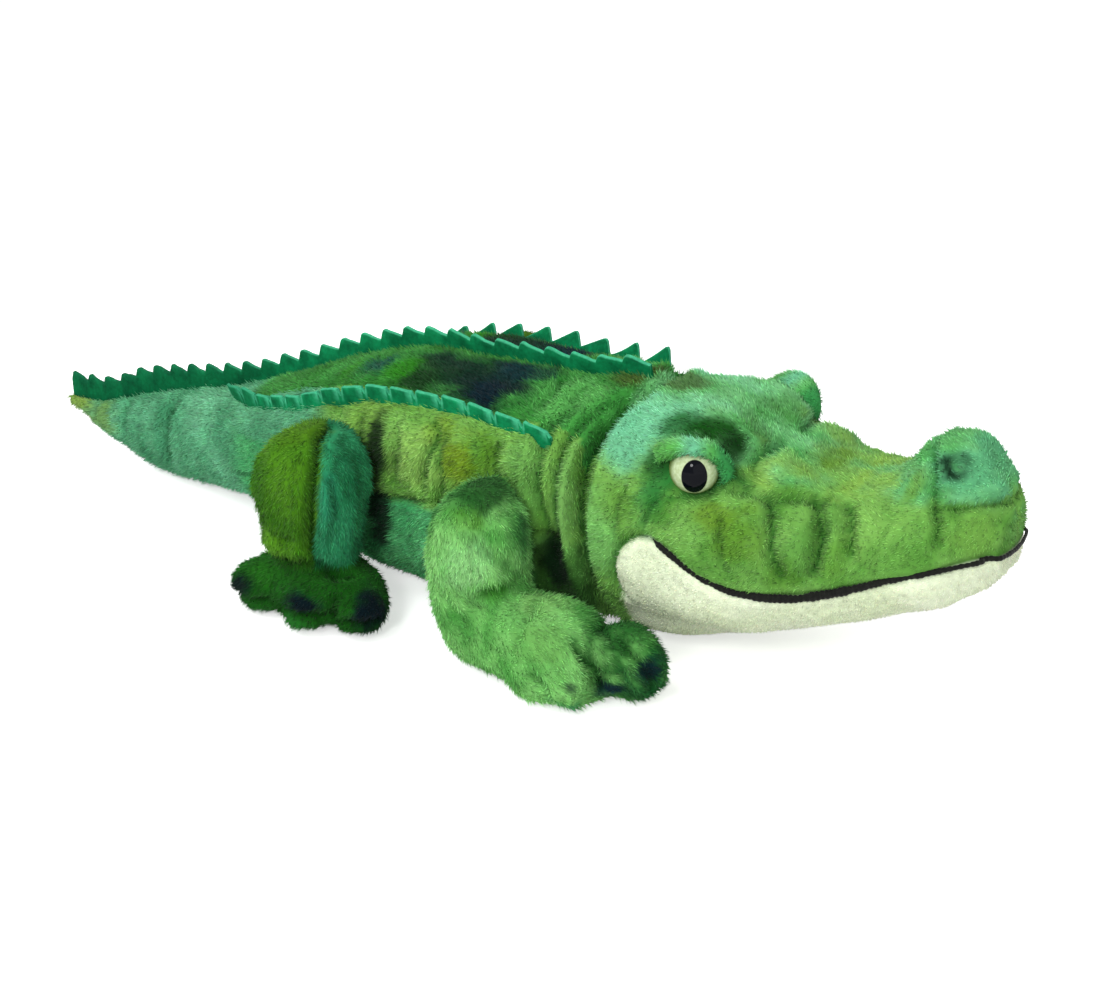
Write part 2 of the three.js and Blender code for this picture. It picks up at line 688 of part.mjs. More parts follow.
// Legs are built on the left side and mirrored to the right.
// Pillar rows: share of the height, of the length along X and of the width outward, and the inward lean
const arm_shares = [
  [0.0, 0.3, 0.3, 0.0],
  [0.1, 0.66, 0.66, 0.0],
  [0.3, 0.93, 0.88, 0.0],
  [0.62, 1.0, 1.0, 0.03],
  [0.84, 0.86, 0.95, 0.09],
  [0.95, 0.52, 0.62, 0.12],
  [1.0, 0.22, 0.3, 0.14],
];
const thigh_shares = [
  [0.0, 0.84, 0.78, 0.0],
  [0.33, 0.86, 0.8, 0.0],
  [0.5, 0.95, 0.88, 0.02],
  [0.66, 1.0, 1.0, 0.06],
  [0.8, 0.95, 1.0, 0.1],
  [0.91, 0.72, 0.8, 0.13],
  [1.0, 0.24, 0.3, 0.15],
];

function ringAt(x, out, height, long, wide) {
  return turnOf(leg_sides).map((angle) =>
    new THREE.Vector3(x + long * Math.cos(angle), out + wide * Math.sin(angle), height));
}

function pillar(leg, table, depth) {
  const tall = leg.height - 2 * depth + floor_cut;
  return solid(loft(table.map(([along, long, wide, lean]) => ringAt(leg.x, leg.out - lean * leg.wide,
    depth - floor_cut + along * tall, long * leg.long - depth, wide * leg.wide - depth))));
}

function toe(x, out, size) {
  return ellipsoid(new THREE.Vector3(x, out, size.high - floor_cut),
    new THREE.Vector3(size.long, size.wide, size.high), small_ball_mesh);
}

// Forearm rows: share of the way to the paw, share of its half width, share of the wrist height
const forearm_shares = [
  [0.0, 0.9, 1.0],
  [0.6, 1.0, 0.97],
  [0.88, 0.96, 0.82],
  [1.0, 0.75, 0.55],
];
function forearm(depth) {
  const rings = forearm_shares.map(([along, wide, high]) => {
    const section = {
      x: foreleg.x + along * (foreleg.paw_reach - depth),
      half: wide * foreleg.paw_half_width - depth,
      top: high * foreleg.wrist_height - depth,
      bottom: depth - floor_cut,
      power: forearm_power_share,
    };
    const out = THREE.MathUtils.lerp(foreleg.out, foreleg.paw_out, along);
    return turnOf(leg_sides)
      .map((angle) => pointAt(section, angle).add(new THREE.Vector3(0, out, 0)));
  });
  return solid(loft(rings));
}

// Thread ties the toes off from the paw, so they are all cloth and the stuffing stops before them
const foreToes = () => [outer_fore_toe, middle_fore_toe, inner_fore_toe].map((tip) =>
  toe(foreleg.x + tip.reach - fore_toe.long, tip.out, fore_toe));
const forelegForm = (depth) => pillar(foreleg, arm_shares, depth).add(forearm(depth));

const hindlegForm = (depth) => pillar(hindleg, thigh_shares, depth);
const foot_x = hindleg.x + foot.ahead;

const hindToes = () => [
  toe(foot_x - rear_hind_toe.back, rear_hind_toe.out, hind_toe),
  toe(foot_x + middle_hind_toe.ahead, middle_hind_toe.out, hind_toe),
  toe(foot_x + front_hind_toe.ahead, front_hind_toe.out, hind_toe),
];
const footForm = (depth) => ellipsoid(new THREE.Vector3(foot_x, foot.out, foot.high - floor_cut),
  new THREE.Vector3(foot.long - depth, foot.wide - depth, foot.high - depth), ball_mesh);

// Each leg is flat where it lies against the torso, at the widest place of its seat
function outboard(leg) {
  const widest = Math.max(bodySection(leg.x - leg_seat).half, bodySection(leg.x + leg_seat).half);
  return box(new THREE.Vector3(-reach, widest + joint_gap, -reach), new THREE.Vector3(reach, reach, reach));
}

const above = (height) =>
  box(new THREE.Vector3(-reach, -reach, height), new THREE.Vector3(reach, reach, reach));
const forelegCut = (body) => body.intersect(outboard(foreleg)).subtract(floor);
const hindlegCut = (body) => body.intersect(outboard(hindleg)).intersect(above(hindleg.ankle_up));
const footCut = (body) =>
  body.intersect(outboard(hindleg)).subtract(floor).subtract(above(hindleg.ankle_up - seam_gap));
const footHole = () => solid(loft([foot.high, hindleg.ankle_up + overrun].map((height) =>
  ringAt(hindleg.x, hindleg.out, height, foot.opening, foot.opening))));

const nodes = new THREE.Group();
const mirrorToRight = new THREE.Matrix4().makeScale(1, -1, 1);

function put(name, material, body) {
  const mesh = new THREE.Mesh(geometryOf(body), materials[material]);
  mesh.name = name;
  nodes.add(mesh);
}

// A body built on the left goes in as it is, and once more, mirrored, on the right
function putBothSides(name, material, body) {
  put(`${name}_left`, material, body);
  put(`${name}_right`, material, solid(geometryOf(body).applyMatrix4(mirrorToRight)));
}

function addTorso() {
  putBothSides('back_panel', 'back_plush', torsoPanel(centreSlot, innerCrestEdge, 4));
  putBothSides('flank_panel', 'flank_plush', torsoPanel(outerCrestEdge, aboveFlankSeam, 4));
  const round = (section) => 2 * Math.PI - belowFlankSeam(section);
  put('belly_panel', 'belly_plush', torsoPanel(belowFlankSeam, round, 8));
  put('torso_filling', 'filling_fibre', torsoFilling());
  const start = tail_root_axis_x + tail_root_socket + joint_gap;
  put('back_crest', 'crest_felt', centreCrest(start, crest_end_x, crest_height));
  putBothSides('side_crest', 'crest_felt', sideCrest(1));
}

function addNeck() {
  put('neck_roll', 'cheek_plush', neckRoll());
  put('neck_filling', 'filling_fibre', neckFilling());
}

function addHead() {
  const eyes = eyeSpace(1).add(eyeSpace(-1));
  const crownRight = (section) => -crownEdge(section);
  const crown = headCut(headPanel(head_places, crownRight, crownEdge, 6).add(brows()));
  put('crown_panel', 'crown_plush', crown);
  const cheek = headCut(headPanel(head_places, cheekTop, cheekBottom, 5)).subtract(eyes);
  putBothSides('cheek_panel', 'cheek_plush', cheek);
  const under = (section) => 2 * Math.PI - jawTop(section);
  const throat_places = spread(head_rim_x, jaw_start_x - seam_gap, 1);
  put('throat_panel', 'cheek_plush', headCut(headPanel(throat_places, jawTop, under, 8)));
  const jaw_places = [jaw_start_x, ...head_places.filter((x) => x > jaw_start_x + skin_thickness)];
  put('jaw_panel', 'jaw_plush', headCut(headPanel(jaw_places, jawTop, under, 8)));
  put('head_filling', 'filling_fibre', headFilling().subtract(eyes));
  put('mouth_cord', 'black_thread', mouthCord());
  const dents = nostrilDent(1, seam_gap).add(nostrilDent(-1, seam_gap));
  put('nose_knob', 'crown_plush', noseKnob().subtract(dents));
  putBothSides('nostril', 'black_thread', nostrilDent(1, 0).intersect(noseKnob()));
  putBothSides('eye', 'eye_plastic', eyeball(1));
  putBothSides('eye_washer', 'washer_plastic', eyeWasher(1));
  putBothSides('eyelid', 'leg_plush', eyelid(1));
}

function addTail() {
  putBothSides('tail_front_skin', 'tail_plush', tailFrontCut(tailSkin(tailFrontPlaces)));
  put('tail_front_filling', 'filling_fibre', tailFrontCut(tailFilling(tailFrontPlaces)));
  putBothSides('tail_rear_skin', 'tail_plush', tailRearCut(tailSkin(tailRearPlaces)));
  const stuffed = tailRearPlaces.filter((x) => x > tail_tip_x + tail_tip_filling_end);
  put('tail_rear_filling', 'filling_fibre', tailRearCut(tailFilling(stuffed)));
  const middle = tail_middle_axis_x + tail_middle_socket;
  const root = tail_root_axis_x + tail_root_socket;
  put('tail_front_crest', 'crest_felt', centreCrest(middle + joint_gap, root, tail_crest_height));
  put('tail_rear_crest', 'crest_felt', centreCrest(crest_start_x, middle, tail_crest_height));
}

function addLegs() {
  putBothSides('foreleg_skin', 'leg_plush',
    forelegCut(unite([forelegForm(0), ...foreToes()]).subtract(forelegForm(skin_thickness))));
  putBothSides('foreleg_filling', 'filling_fibre', forelegCut(forelegForm(filling_inset)));
  const skin = hindlegCut(hindlegForm(0).subtract(hindlegForm(skin_thickness)));
  putBothSides('hindleg_front_skin', 'leg_plush', skin.intersect(ahead(hindleg.x + seam_gap / 2)));
  putBothSides('hindleg_rear_skin', 'leg_plush', skin.intersect(behind(hindleg.x - seam_gap / 2)));
  putBothSides('hindleg_filling', 'filling_fibre', hindlegCut(hindlegForm(filling_inset)));
  const sewn_foot = unite([footForm(0), ...hindToes()]).subtract(footForm(skin_thickness));
  putBothSides('foot_skin', 'foot_plush', footCut(sewn_foot.subtract(footHole())));
  putBothSides('foot_filling', 'filling_fibre', footCut(footForm(filling_inset)));
}

addTorso();
addNeck();
addHead();
addTail();
addLegs();

export default nodes;
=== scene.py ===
# %% [markdown]
# A plush crocodile lies on its belly. Its solids are already made, at their real size, and they are
# loaded here as a frame that never moves. Every piece made below is laid over them, and most ride on the
# body of the frame that carries them.

# %% The frame
import math

import bmesh
import bpy
import numpy as np
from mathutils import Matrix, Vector
from mathutils.bvhtree import BVHTree


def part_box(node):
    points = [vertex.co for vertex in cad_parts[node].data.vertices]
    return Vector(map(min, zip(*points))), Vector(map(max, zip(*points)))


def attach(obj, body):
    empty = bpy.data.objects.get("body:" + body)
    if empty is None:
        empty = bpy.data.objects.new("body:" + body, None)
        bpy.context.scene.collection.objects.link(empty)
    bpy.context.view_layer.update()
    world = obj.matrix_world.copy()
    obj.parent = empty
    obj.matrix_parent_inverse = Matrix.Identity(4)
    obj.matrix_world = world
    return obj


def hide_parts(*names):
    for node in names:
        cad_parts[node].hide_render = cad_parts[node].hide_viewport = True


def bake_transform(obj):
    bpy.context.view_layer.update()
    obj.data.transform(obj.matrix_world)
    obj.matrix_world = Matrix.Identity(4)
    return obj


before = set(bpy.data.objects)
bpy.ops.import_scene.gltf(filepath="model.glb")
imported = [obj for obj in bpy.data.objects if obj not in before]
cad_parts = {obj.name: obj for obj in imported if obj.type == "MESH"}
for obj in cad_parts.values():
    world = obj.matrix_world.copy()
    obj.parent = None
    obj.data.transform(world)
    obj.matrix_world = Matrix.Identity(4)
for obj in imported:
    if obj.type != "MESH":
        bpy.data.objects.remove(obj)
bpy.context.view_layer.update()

MM = 0.001

# %% [markdown]
# The camera stands where the picture was taken from: ahead of the toy, to its right, and above it.
# A 50 mm lens keeps the snout from looming.

# %% Camera
camera_place, heading, pitch = (0.3508, -0.4582, 0.2683), (-0.552, 0.834), math.radians(23)
camera_data = bpy.data.cameras.new("camera")
camera_data.lens, camera_data.sensor_width = 50, 36
camera = bpy.data.objects.new("camera", camera_data)
bpy.context.scene.collection.objects.link(camera)
camera.location = camera_place
aim = Vector((heading[0] * math.cos(pitch), heading[1] * math.cos(pitch), -math.sin(pitch)))
camera.rotation_euler = aim.to_track_quat("-Z", "Y").to_euler()
bpy.context.scene.camera = camera
bpy.context.scene.view_settings.view_transform = "Standard"
print("camera aims along", [round(v, 3) for v in aim])

# %% [markdown]
# The toy lies on a white table top, in soft light from large lamps. White paper would need a lot of light
# to show white, so the floor adds a glow of its own, which only the camera and reflections see. The toy
# still gets a plain amount of light, and still leaves its soft shadow on the floor.

# %% Floor, world and lamps
def new_material(name):
    """An empty node material and its tree."""
    material = bpy.data.materials.new(name)
    material.use_nodes = True
    material.node_tree.nodes.clear()
    return material, material.node_tree


def add_node(tree, kind, settings=(), inputs=()):
    """A shader node with its settings. Each input gets a value, or the output that feeds it."""
    node = tree.nodes.new("ShaderNode" + kind)
    for name, value in dict(settings).items():
        setattr(node, name, value)
    for name, value in dict(inputs).items():
        if isinstance(value, bpy.types.NodeSocket):
            tree.links.new(value, node.inputs[name])
        else:
            node.inputs[name].default_value = value
    return node


def worked_out(tree, operation, first, second):
    """The output of a product, a sum or a maximum of two values."""
    return add_node(tree, "Math", {"operation": operation}, {0: first, 1: second}).outputs[0]


def seen_directly(tree):
    """1 for rays from the camera, a mirror or glass, and 0 for rays that light the scene."""
    path = add_node(tree, "LightPath").outputs
    total = worked_out(tree, "MAXIMUM", path["Is Camera Ray"], path["Is Glossy Ray"])
    return worked_out(tree, "MAXIMUM", total, path["Is Transmission Ray"])


floor_size, floor_drop, floor_glow = 12.0, 0.2 * MM, 0.56
floor_material, tree = new_material("white_table")
paper = add_node(tree, "BsdfDiffuse", inputs={"Color": (0.86, 0.86, 0.86, 1)})
shine = worked_out(tree, "MULTIPLY", seen_directly(tree), floor_glow)
glow = add_node(tree, "Emission", inputs={"Strength": shine})
both = add_node(tree, "AddShader", inputs={0: paper.outputs[0], 1: glow.outputs[0]})
add_node(tree, "OutputMaterial", inputs={"Surface": both.outputs[0]})

bpy.ops.mesh.primitive_plane_add(size=floor_size, location=(0, 0, -floor_drop))
floor = bpy.context.object
floor.name = "table"
floor.data.materials.append(floor_material)

world = bpy.data.worlds.new("studio")
bpy.context.scene.world = world
world.use_nodes = True
tree = world.node_tree
background = tree.nodes["Background"]
world_light, world_seen = 0.54, 1.0
extra = worked_out(tree, "MULTIPLY", seen_directly(tree), world_seen - world_light)
tree.links.new(worked_out(tree, "ADD", extra, world_light), background.inputs["Strength"])
background.inputs["Color"].default_value = (1, 1, 1, 1)


def lamp(name, place, size, power):
    """A round soft box that shines at the middle of the toy. Places in metres, power in watts."""
    data = bpy.data.lights.new(name, "AREA")
    data.shape = "DISK"
    data.size, data.energy = size, power
    light = bpy.data.objects.new(name, data)
    bpy.context.scene.collection.objects.link(light)
    light.location = place
    light.rotation_euler = (toy_middle - light.location).to_track_quat("-Z", "Y").to_euler()


toy_middle = Vector((0, 0, 0.04))
lamp("key_lamp", (-0.25, -0.75, 1.15), 0.8, 9.5)
lamp("front_lamp", (0.35, -1.15, 0.81), 0.3, 8)
lamp("low_lamp", (0.9, -0.7, 0.3), 1.1, 3)
lamp("back_lamp", (-0.5, 0.9, 0.8), 0.8, 4)

# %% [markdown]
# Tail, torso, neck and head are one long stuffed form. The solids give its outline, but their cloth is cut
# into panels with seams and joints between them. Rays are shot from outside at its centre line, all the way
# round and along, and the distances are smoothed. What comes out is one even skin, a grid of rings that
# follows the solids wherever they are. A remesh could melt them together too, but a grid of rings is
# easier to cut where the toy bends.

# %% The outline of the long form
SPINE_NODES = [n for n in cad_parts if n.split("_")[0] in
               ("back", "flank", "belly", "torso", "neck", "crown", "cheek", "throat", "jaw", "head",
                "tail", "nose") and "crest" not in n]
ring_gap, tip_gap, nose_gap, around = 1.5 * MM, 1.5 * MM, 3 * MM, 176
ray_start = 0.3


def node_arrays(names):
    """Points and triangles of some CAD solids, as arrays."""
    points, triangles, start = [], [], 0
    for name in names:
        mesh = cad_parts[name].data
        mesh.calc_loop_triangles()
        places = np.zeros(3 * len(mesh.vertices))
        corners = np.zeros(3 * len(mesh.loop_triangles), np.int32)
        mesh.vertices.foreach_get("co", places)
        mesh.loop_triangles.foreach_get("vertices", corners)
        points.append(places.reshape(-1, 3))
        triangles.append(corners.reshape(-1, 3) + start)
        start += len(points[-1])
    return np.concatenate(points), np.concatenate(triangles)


spine_tree = BVHTree.FromPolygons(*[a.tolist() for a in node_arrays(SPINE_NODES)])
tail_tip_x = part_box("tail_rear_skin_left")[0][0] + tip_gap
nose_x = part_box("crown_panel")[1][0] - nose_gap
ring_x = np.linspace(tail_tip_x, nose_x, int((nose_x - tail_tip_x) / ring_gap))
turn = np.linspace(0, 2 * math.pi, around, endpoint=False)


def hit(start, direction):
    """The first place of the outline met by a ray, or None."""
    return spine_tree.ray_cast(Vector(start), Vector(direction))[0]


def height_at(x, way):
    """The height met by a ray that comes straight down (-1) or up (1), beside the middle seam."""
    for y in (4, 2, 1, -1):
        place = hit((x, y * MM, -way * ray_start), (0, 0, way))
        if place is not None:
            return place.z
    return math.nan


def filled_in(values):
    """Missing values taken from their neighbours."""
    known = ~np.isnan(values)
    return np.interp(np.arange(len(values)), np.arange(len(values))[known], values[known])


def smoothed(values, passes, axis, wrap=False):
    """Values evened out along one axis by a run of small averages."""
    count = values.shape[axis]
    keep_in = (lambda places: places % count) if wrap else (lambda places: np.clip(places, 0, count - 1))
    before, after = keep_in(np.arange(count) - 1), keep_in(np.arange(count) + 1)
    for _ in range(passes):
        values = 0.5 * values + 0.25 * (np.take(values, before, axis) + np.take(values, after, axis))
    return values


def unit(vectors):
    """Vectors brought to length 1."""
    return vectors / np.maximum(np.linalg.norm(vectors, axis=-1, keepdims=True), 1e-12)


def closed_over(radii, reach):
    """Slots narrower than the reach are bridged, and the rest keeps its size."""
    spread = range(-reach, reach + 1)
    grown = np.max([np.roll(radii, k, 1) for k in spread], 0)
    grown = np.max([np.roll(grown, k, 0) for k in (-1, 0, 1)], 0)
    back = np.min([np.roll(grown, k, 1) for k in spread], 0)
    return np.min([np.roll(back, k, 0) for k in (-1, 0, 1)], 0)


tops = filled_in(np.array([height_at(x, -1) for x in ring_x]))
bottoms = filled_in(np.array([height_at(x, 1) for x in ring_x]))
centre_z = smoothed((tops + bottoms) / 2, 12, 0)
radii = np.full((len(ring_x), around), math.nan)
for i, x in enumerate(ring_x):
    middle = Vector((x, 0, centre_z[i]))
    for j, angle in enumerate(turn):
        way = Vector((0, math.sin(angle), math.cos(angle)))
        place = hit(middle + ray_start * way, -way)
        if place is not None:
            radii[i, j] = (place - middle).length
    radii[i] = filled_in(radii[i])
bridged, passes_round, passes_along = 2, 6, 9
radii = closed_over(radii, bridged)
radii = smoothed(smoothed(radii, passes_round, 1, wrap=True), passes_along, 0)
grid = np.stack([np.repeat(ring_x[:, None], around, 1), radii * np.sin(turn),
                 centre_z[:, None] + radii * np.cos(turn)], 2)
print("rings:", len(ring_x), "points round each:", around)

# %% [markdown]
# Stuffed cloth is never even. Four things are worked into the skin in code: lumps of stuffing from smooth
# noise, folds and seams pressed in along paths, swells and hollows, and the sockets of the eyes. A
# modelling brush would do it by hand, but a path with a width and a depth can be moved and counted.

# %% Noise, folds and swells
def soft_noise(points, cell, seed):
    """Smooth random values from -1 to 1 in space, with blotches about one cell wide."""
    table_size, mixers = 4096, (73856093, 19349663, 83492791)
    table = np.random.default_rng(seed).uniform(-1, 1, table_size)
    at = points / cell
    base = np.floor(at).astype(np.int64)
    share = at - base
    share = share * share * (3 - 2 * share)
    total = np.zeros(len(points))
    for corner in np.ndindex(2, 2, 2):
        mix = np.bitwise_xor.reduce((base + np.array(corner)) * mixers, 1)
        weight = np.prod(np.where(np.array(corner) == 1, share, 1 - share), 1)
        total += weight * table[mix % table_size]
    return total


def step(values, low, high):
    """0 below low, 1 above high, and a soft rise between."""
    share = np.clip((values - low) / (high - low), 0, 1)
    return share * share * (3 - 2 * share)


def one_side(points):
    """The points with the right side of the toy laid over the left."""
    return np.stack([points[:, 0], np.abs(points[:, 1]), points[:, 2]], 1)


def fold(points, width, depth, path):
    """A fold pressed in along a path, with a soft swell on both sides. It fades at its ends. In mm."""
    path = np.array(path, float) * MM
    reach = 5 * width * MM
    close = np.flatnonzero(np.all((points > path.min(0) - reach) & (points < path.max(0) + reach), 1))
    near_by = points[close]
    nearest, at, start = np.full(len(close), 1.0), np.zeros(len(close)), 0.0
    for a, b in zip(path[:-1], path[1:]):
        length = max(np.linalg.norm(b - a), 1e-6)
        share = np.clip((near_by - a) @ (b - a) / length ** 2, 0, 1)
        away = np.linalg.norm(near_by - a - share[:, None] * (b - a), axis=1)
        at = np.where(away < nearest, start + share * length, at)
        nearest = np.minimum(nearest, away)
        start += length
    near = nearest / (width * MM)
    fade = step(np.minimum(at, start - at), 0, min(3 * width * MM, start / 2))
    total = np.zeros(len(points))
    total[close] = -depth * MM * fade * (np.exp(-near ** 2) - 0.3 * np.exp(-(near - 2.1) ** 2))
    return total


def laid_on(folds, before, after):
    """The folds with their paths laid on a skin: found on the points before, given on the points after."""
    before, after, rows = one_side(before), one_side(after), []
    for width, depth, path in folds:
        path = np.array(path, float) * MM
        dense = [np.linspace(p, q, 5)[:-1] for p, q in zip(path[:-1], path[1:])]
        dense = np.concatenate(dense + [path[-1:]])
        spots = [int(np.argmin(((before - p) ** 2).sum(1))) for p in dense]
        line = after[spots]
        line[1:-1] = (line[:-2] + 2 * line[1:-1] + line[2:]) / 4
        rows.append((width, depth, line / MM))
    return rows


def pressed(points, folds):
    """How deep in a fold each point lies, from 0 to 1."""
    deep, darkest_at = np.zeros(len(points)), 3.4 * MM
    for width, depth, path in folds:
        deep = np.maximum(deep, -fold(one_side(points), width * 0.75, depth, path) / darkest_at)
    return np.clip(deep, 0, 1)


def swell(points, height, place, size):
    """A soft rise, or a hollow where the height is negative. In mm."""
    away = np.linalg.norm((points / MM - np.array(place)) / np.array(size), axis=1)
    return height * MM * np.exp(-away ** 2)


def relief(points, folds, swells, lumps, seed):
    """How far each point moves out or in."""
    side, large, small = one_side(points), 17 * MM, 7 * MM
    total = lumps * MM * (soft_noise(points, large, seed) + 0.45 * soft_noise(points, small, seed + 1))
    for row in folds:
        total = total + fold(side, *row)
    for row in swells:
        total = total + swell(side, *row)
    return total


# %% [markdown]
# These are the folds that the cloth shows, as width, depth and path: the deep neck fold under the rim of
# the head with two smaller ones behind it, puckers on the flank, the belly seam, creases across the tail
# and the back, the wrinkles on the snout, the seams of the nose, the groove that the mouth thread pulls
# in, and the rear end of the jaw. They are written for one side, and the other side mirrors it.

# %% The folds of the long skin
MOUTH_LINE = [(119, 54.5), (127, 50.5), (133, 47), (140, 43.5), (149, 41), (160, 40.5), (170, 41.5),
              (180, 45), (190, 49.5), (200, 54.4), (209, 57.8), (217, 60.4), (224, 61.8), (229, 61.4)]
nostril_place = (211.5, 13.5, 91.5)
SPINE_FOLDS = [
    (2.8, 6.5, [(98, -12, 96), (97, 0, 96), (96, 14, 94), (92.5, 22, 90), (91, 33, 83), (90, 41, 76),
                (90, 46, 65), (90, 48, 51), (92, 45, 34), (95, 41, 24), (97, 20, 5), (97, -10, 3)]),
    (1.9, 3.2, [(88, 20, 92), (84.5, 30, 87), (81, 39, 79), (80, 47, 68), (81, 51, 54), (84, 49, 36)]),
    (2.4, 3.0, [(76, 26, 90), (72, 37, 83), (72.5, 45, 74), (74, 50.5, 61), (78, 51.5, 46), (82, 48, 32)]),
    (1.9, 3.6, [(25, 45, 80), (30, 49.5, 74), (27, 51, 66), (23.5, 51.5, 57), (25, 51.5, 46)]),
    (1.8, 3.0, [(34, 48, 78), (31, 50.5, 68), (33.5, 51.5, 56), (31, 51.5, 46)]),
    (2.4, 2.2, [(10, 47, 79), (13, 50, 67), (10, 51, 55), (12, 51, 48)]),
    (2.4, 2.2, [(58, 45, 81), (55, 50, 71), (59, 51, 60)]),
    (2.4, 1.8, [(-8, 45, 79), (-9, 49, 70), (-6, 51, 60)]),
    (1.3, 2.2, [(-95, 22, 24), (-60, 33, 34), (-20, 50, 42), (7, 51, 44), (30, 51, 47), (60, 51, 46),
                (84, 50, 44)]),
    (3.0, 3.4, [(-147, -5, 48), (-148, 8, 45), (-151, 19, 30), (-150, 16, 10)]),
    (3.0, 2.0, [(-182, -4, 41), (-183, 9, 36), (-184, 13, 24), (-182, 9, 12)]),
    (3.0, 2.0, [(-116, 8, 57), (-118, 20, 44), (-116, 23, 28)]),
    (2.2, 2.0, [(59, 8, 93), (65, 24, 91), (62, 35, 88)]),
    (2.2, 1.8, [(76, 10, 94), (73, 24, 91), (79, 32, 87)]),
    (2.8, 2.0, [(-52, 8, 78), (-50, 24, 74), (-54, 30, 66)]),
    (2.6, 1.6, [(-20, 6, 89), (-18, 22, 87), (-22, 34, 82)]),
    # snout wrinkles
    (2.3, 4.0, [(154, 30, 76), (158.5, 36, 69), (160, 40, 62), (162, 42, 54), (167, 41, 46)]),
    (2.2, 4.2, [(167, 23, 76), (172, 30, 70), (175.5, 34, 65), (176, 38, 57), (174, 39, 49)]),
    (2.0, 3.8, [(178, 21, 76), (183, 29, 70), (185, 33, 65), (186, 36, 57)]),
    (1.9, 1.2, [(190, 20, 76), (195, 27, 70), (196, 31, 64)]),
    (2.0, 2.4, [(142, 40, 77), (150, 35, 74.5), (158, 32, 74.5), (167, 28, 75.5), (176, 24, 76)]),
    (1.3, 2.0, [(143, 44, 70), (144, 46, 62), (146, 47, 53), (150, 46, 45)]),
    (1.4, 1.8, [(122, 46, 72), (117, 49, 64), (117, 50, 56)]),
    (1.4, 1.6, [(107, 45, 74), (104, 49, 60), (106, 49, 50)]),
    (2.2, 3.0, [(152, 4, 88), (150, 14, 87), (149, 24, 84), (150, 30, 79)]),
    # seams of the nose
    (1.8, 3.6, [(197, -4, 95), (199, 8, 94), (203, 16, 89), (207, 22, 82), (211, 26, 74), (213, 28, 65)]),
    (1.6, 2.6, [(207, 25, 80), (215, 20, 79), (222, 13, 79), (227, 5, 79), (229, -4, 79)]),
    (1.3, 1.6, [(226, 0, 84), (231, 0, 74), (229, 0, 62)]),
    # under the mouth thread, and round the rear end of the jaw
    (1.7, 1.3, [(x, 46 - 30 * max(0.0, (x - 150) / 80) ** 1.3, z) for x, z in MOUTH_LINE]),
    (1.8, 2.6, [(123, 49, 55), (113, 50, 54), (106, 50, 48), (104, 49, 39), (106, 47, 30), (112, 44, 24)]),
]
# Swells, and hollows where the height is negative, as height, place and size.
SPINE_SWELLS = [
    (3.0, (98.5, 38, 74), (4.5, 14, 22)),
    (1.6, (98.5, 46, 48), (4.5, 10, 16)),
    (1.8, (86, 47, 60), (2.6, 10, 26)),
    (2.6, (132, 20, 95), (17, 8, 8)),
    (2.0, (152, 18, 84), (5, 7, 6)),
    (-3.6, (134, 27, 92), (13, 5, 5)),
    (-4.0, (146, 30, 84), (4.5, 7, 7)),
    (-2.6, (146, 2, 89), (9, 7, 8)),
    (3.2, (159, 24, 80), (6, 8, 5)),
    (3.4, (168.5, 36, 60), (3.6, 8, 11)),
    (2.6, (180.5, 33, 62), (3.4, 8, 10)),
    (1.6, (191, 29, 64), (4, 8, 9)),
    (1.6, (151, 45, 58), (7, 8, 9)),
    (-6.0, nostril_place, (3.8, 3.8, 4.2)),
    (3.2, (214, 6, 93), (10, 14, 7)),
    (4.6, (223, 6, 83), (7, 15, 8)),
    (1.2, (222, 16, 74), (6, 8, 7)),
    (2.4, (140, 46, 30), (22, 12, 9)),
    (2.0, (112, 47, 40), (7, 8, 9)),
    (2.4, (42, 50, 66), (7, 8, 12)),
    (2.0, (16, 50, 64), (6, 8, 12)),
    (1.6, (67, 48, 68), (5, 8, 14)),
    (-2.2, (82, 50, 42), (12, 12, 18)),
    (4.2, (211, 22, 47), (12, 14, 9)),
    (3.0, (224, 10, 51), (6, 14, 7)),
]

# %% [markdown]
# The eye looks ahead and to its side. Its socket is pressed flat, so that the cloth lies behind the dome.

# %% Sockets and the worked skin
eye_radius = 8.5 * MM
eye_centre = np.array([130.5, 38.3, 79.3]) * MM
gaze = unit(np.array([0.45, 0.87, 0.21]))
beside_gaze = np.array([gaze[1], -gaze[0], 0])
socket_flat, socket_end, socket_deep, socket_gap = 8.5 * MM, 12.5 * MM, 20 * MM, 1.2 * MM
pile_height, spine_lumps, over_floor = 1.7 * MM, 0.9, 0.4 * MM


def eye_places(points):
    """How far points lie from the line of gaze, and how far ahead of the eye's centre."""
    away = one_side(points) - eye_centre
    ahead = away @ gaze
    return np.linalg.norm(away - ahead[:, None] * gaze, axis=1), ahead


def with_sockets(points):
    """The points, pressed flat where an eye sits."""
    beside, ahead = eye_places(points)
    flat = (1 - step(beside, socket_flat, socket_end)) * (np.abs(ahead) < socket_deep)
    push = np.maximum(ahead + socket_gap, 0)[:, None] * flat[:, None] * gaze
    push[:, 1] *= np.where(points[:, 1] < 0, -1, 1)
    return points - push


def ring_normals(rings):
    """Outward normals of a grid of rings."""
    return unit(np.cross(np.gradient(rings, axis=0), np.roll(rings, -1, 1) - np.roll(rings, 1, 1)))


def domed(rings, rise, count, at_start):
    """Rings that close an open end with a soft dome."""
    rim = rings[0] if at_start else rings[-1]
    middle = rim.mean(0)
    shares = np.linspace(0, 1, count + 2)[1:-1] * math.pi / 2
    dome = np.stack([middle + (rim - middle) * math.cos(s) + np.array([rise * math.sin(s), 0, 0])
                     for s in shares])
    return np.concatenate([dome[::-1], rings]) if at_start else np.concatenate([rings, dome])


